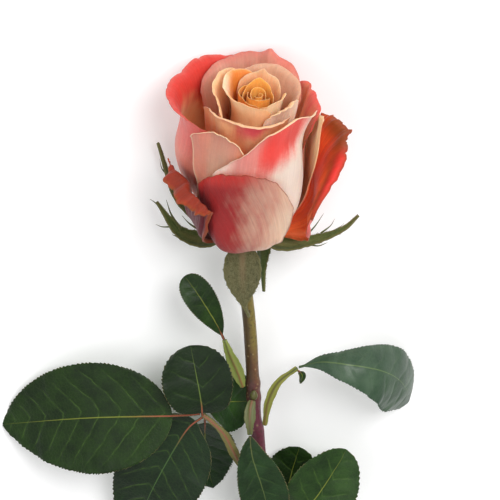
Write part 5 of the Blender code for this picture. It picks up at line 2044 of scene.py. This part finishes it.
@dataclass
class Studio:
    """A pale floor, soft light and the camera above the lying flower. Lengths are in metres."""

    camera_far: float = 4.5
    frame_width: float = 0.18
    tilt: float = 30.0  # degrees the camera looks down on the upright flower
    aim: Pair = (0.00252, -0.0045)  # right and up from the foot of the bloom
    lit_point: Triple = (0, 0.05, 0.02)
    floor_size: float = 3.0
    floor_glow: float = 0.08
    floor_colour: Colour = ink(253, 253, 253)
    floor_grain: Colour = ink(250, 250, 251)
    sky: float = 0.66  # strength of the even light from all round

    def axes(self) -> tuple[Vector, Vector]:
        """The way to the camera, and the camera's own up."""
        angle = math.radians(self.tilt - POSE.slope)
        return Vector((0, math.sin(angle), math.cos(angle))), Vector((0, math.cos(angle), -math.sin(angle)))

    def camera(self) -> None:
        """Places the camera."""
        away, up = self.axes()
        foot = Vector((*POSE.shift, POSE.bloom_height)) / MM
        target = foot + Vector((1, 0, 0)) * self.aim[0] + up * self.aim[1]
        data = bpy.data.cameras.new("camera")
        data.lens = data.sensor_width * self.camera_far / self.frame_width
        camera = bpy.data.objects.new("camera", data)
        right = up.cross(away)
        turn = Matrix((right, up, away)).transposed()
        camera.matrix_world = Matrix.Translation(target + away * self.camera_far) @ turn.to_4x4()
        bpy.context.scene.collection.objects.link(camera)
        bpy.context.scene.camera = camera

    def lamp(self, name: str, place: Triple, size: float, power: float) -> None:
        """Places one soft round lamp that points at the middle of the flower.

        Args:
            name: its name.
            place: where it stands.
            size: how wide it is.
            power: its power in watts.
        """
        data = bpy.data.lights.new(name, "AREA")
        data.shape = "DISK"
        data.size = size
        data.energy = power
        lamp = bpy.data.objects.new(name, data)
        lamp.location = place
        away = Vector(place) - Vector(self.lit_point)
        lamp.rotation_euler = away.to_track_quat("Z", "Y").to_euler()
        bpy.context.scene.collection.objects.link(lamp)

    def floor(self) -> Object:
        """Lays the floor.

        Returns:
            The floor.
        """
        half = self.floor_size / 2
        mesh = bpy.data.meshes.new("floor")
        corners = [(-half, -half, 0), (half, -half, 0), (half, half, 0), (-half, half, 0)]
        mesh.from_pydata(corners, [], [(0, 1, 2, 3)])
        material, graph, shader = PAPER.material("floor")
        grain = graph.noise(graph.object_place(), 40.0, 2.0)
        colour = graph.mix(grain, self.floor_colour, self.floor_grain)
        graph.feed(shader.inputs["Base Color"], colour)
        shader.inputs["Emission Strength"].default_value = self.floor_glow
        mesh.materials.append(material)
        floor = bpy.data.objects.new("floor", mesh)
        bpy.context.scene.collection.objects.link(floor)
        return floor

    def build(self) -> list[Object]:
        """Sets the studio up.

        Returns:
            The floor, which is its only mesh.
        """
        self.camera()
        floor = self.floor()
        self.lamp("key", place=(0.9, 1.7, 2.2), size=1.5, power=50.0)
        self.lamp("fill", place=(-1.4, 0.2, 2.4), size=2.0, power=12.0)
        world = bpy.data.worlds.new("studio")
        world.use_nodes = True
        background = world.node_tree.nodes["Background"]
        background.inputs["Color"].default_value = (1, 1, 1, 1)
        background.inputs["Strength"].default_value = self.sky
        bpy.context.scene.world = world
        bpy.context.scene.view_settings.view_transform = "Standard"
        return [floor]


def main() -> None:
    """Builds the studio and then the flower, and notes its size."""
    logging.basicConfig(level=logging.INFO, format="%(name)s %(message)s")
    for part in (Studio(), Stem(), Calyx(), Foliage(), Bloom()):
        for piece in part.build():
            log.info("%s: %d faces", piece.name, len(piece.data.polygons))


if __name__ == "__main__":
    main()
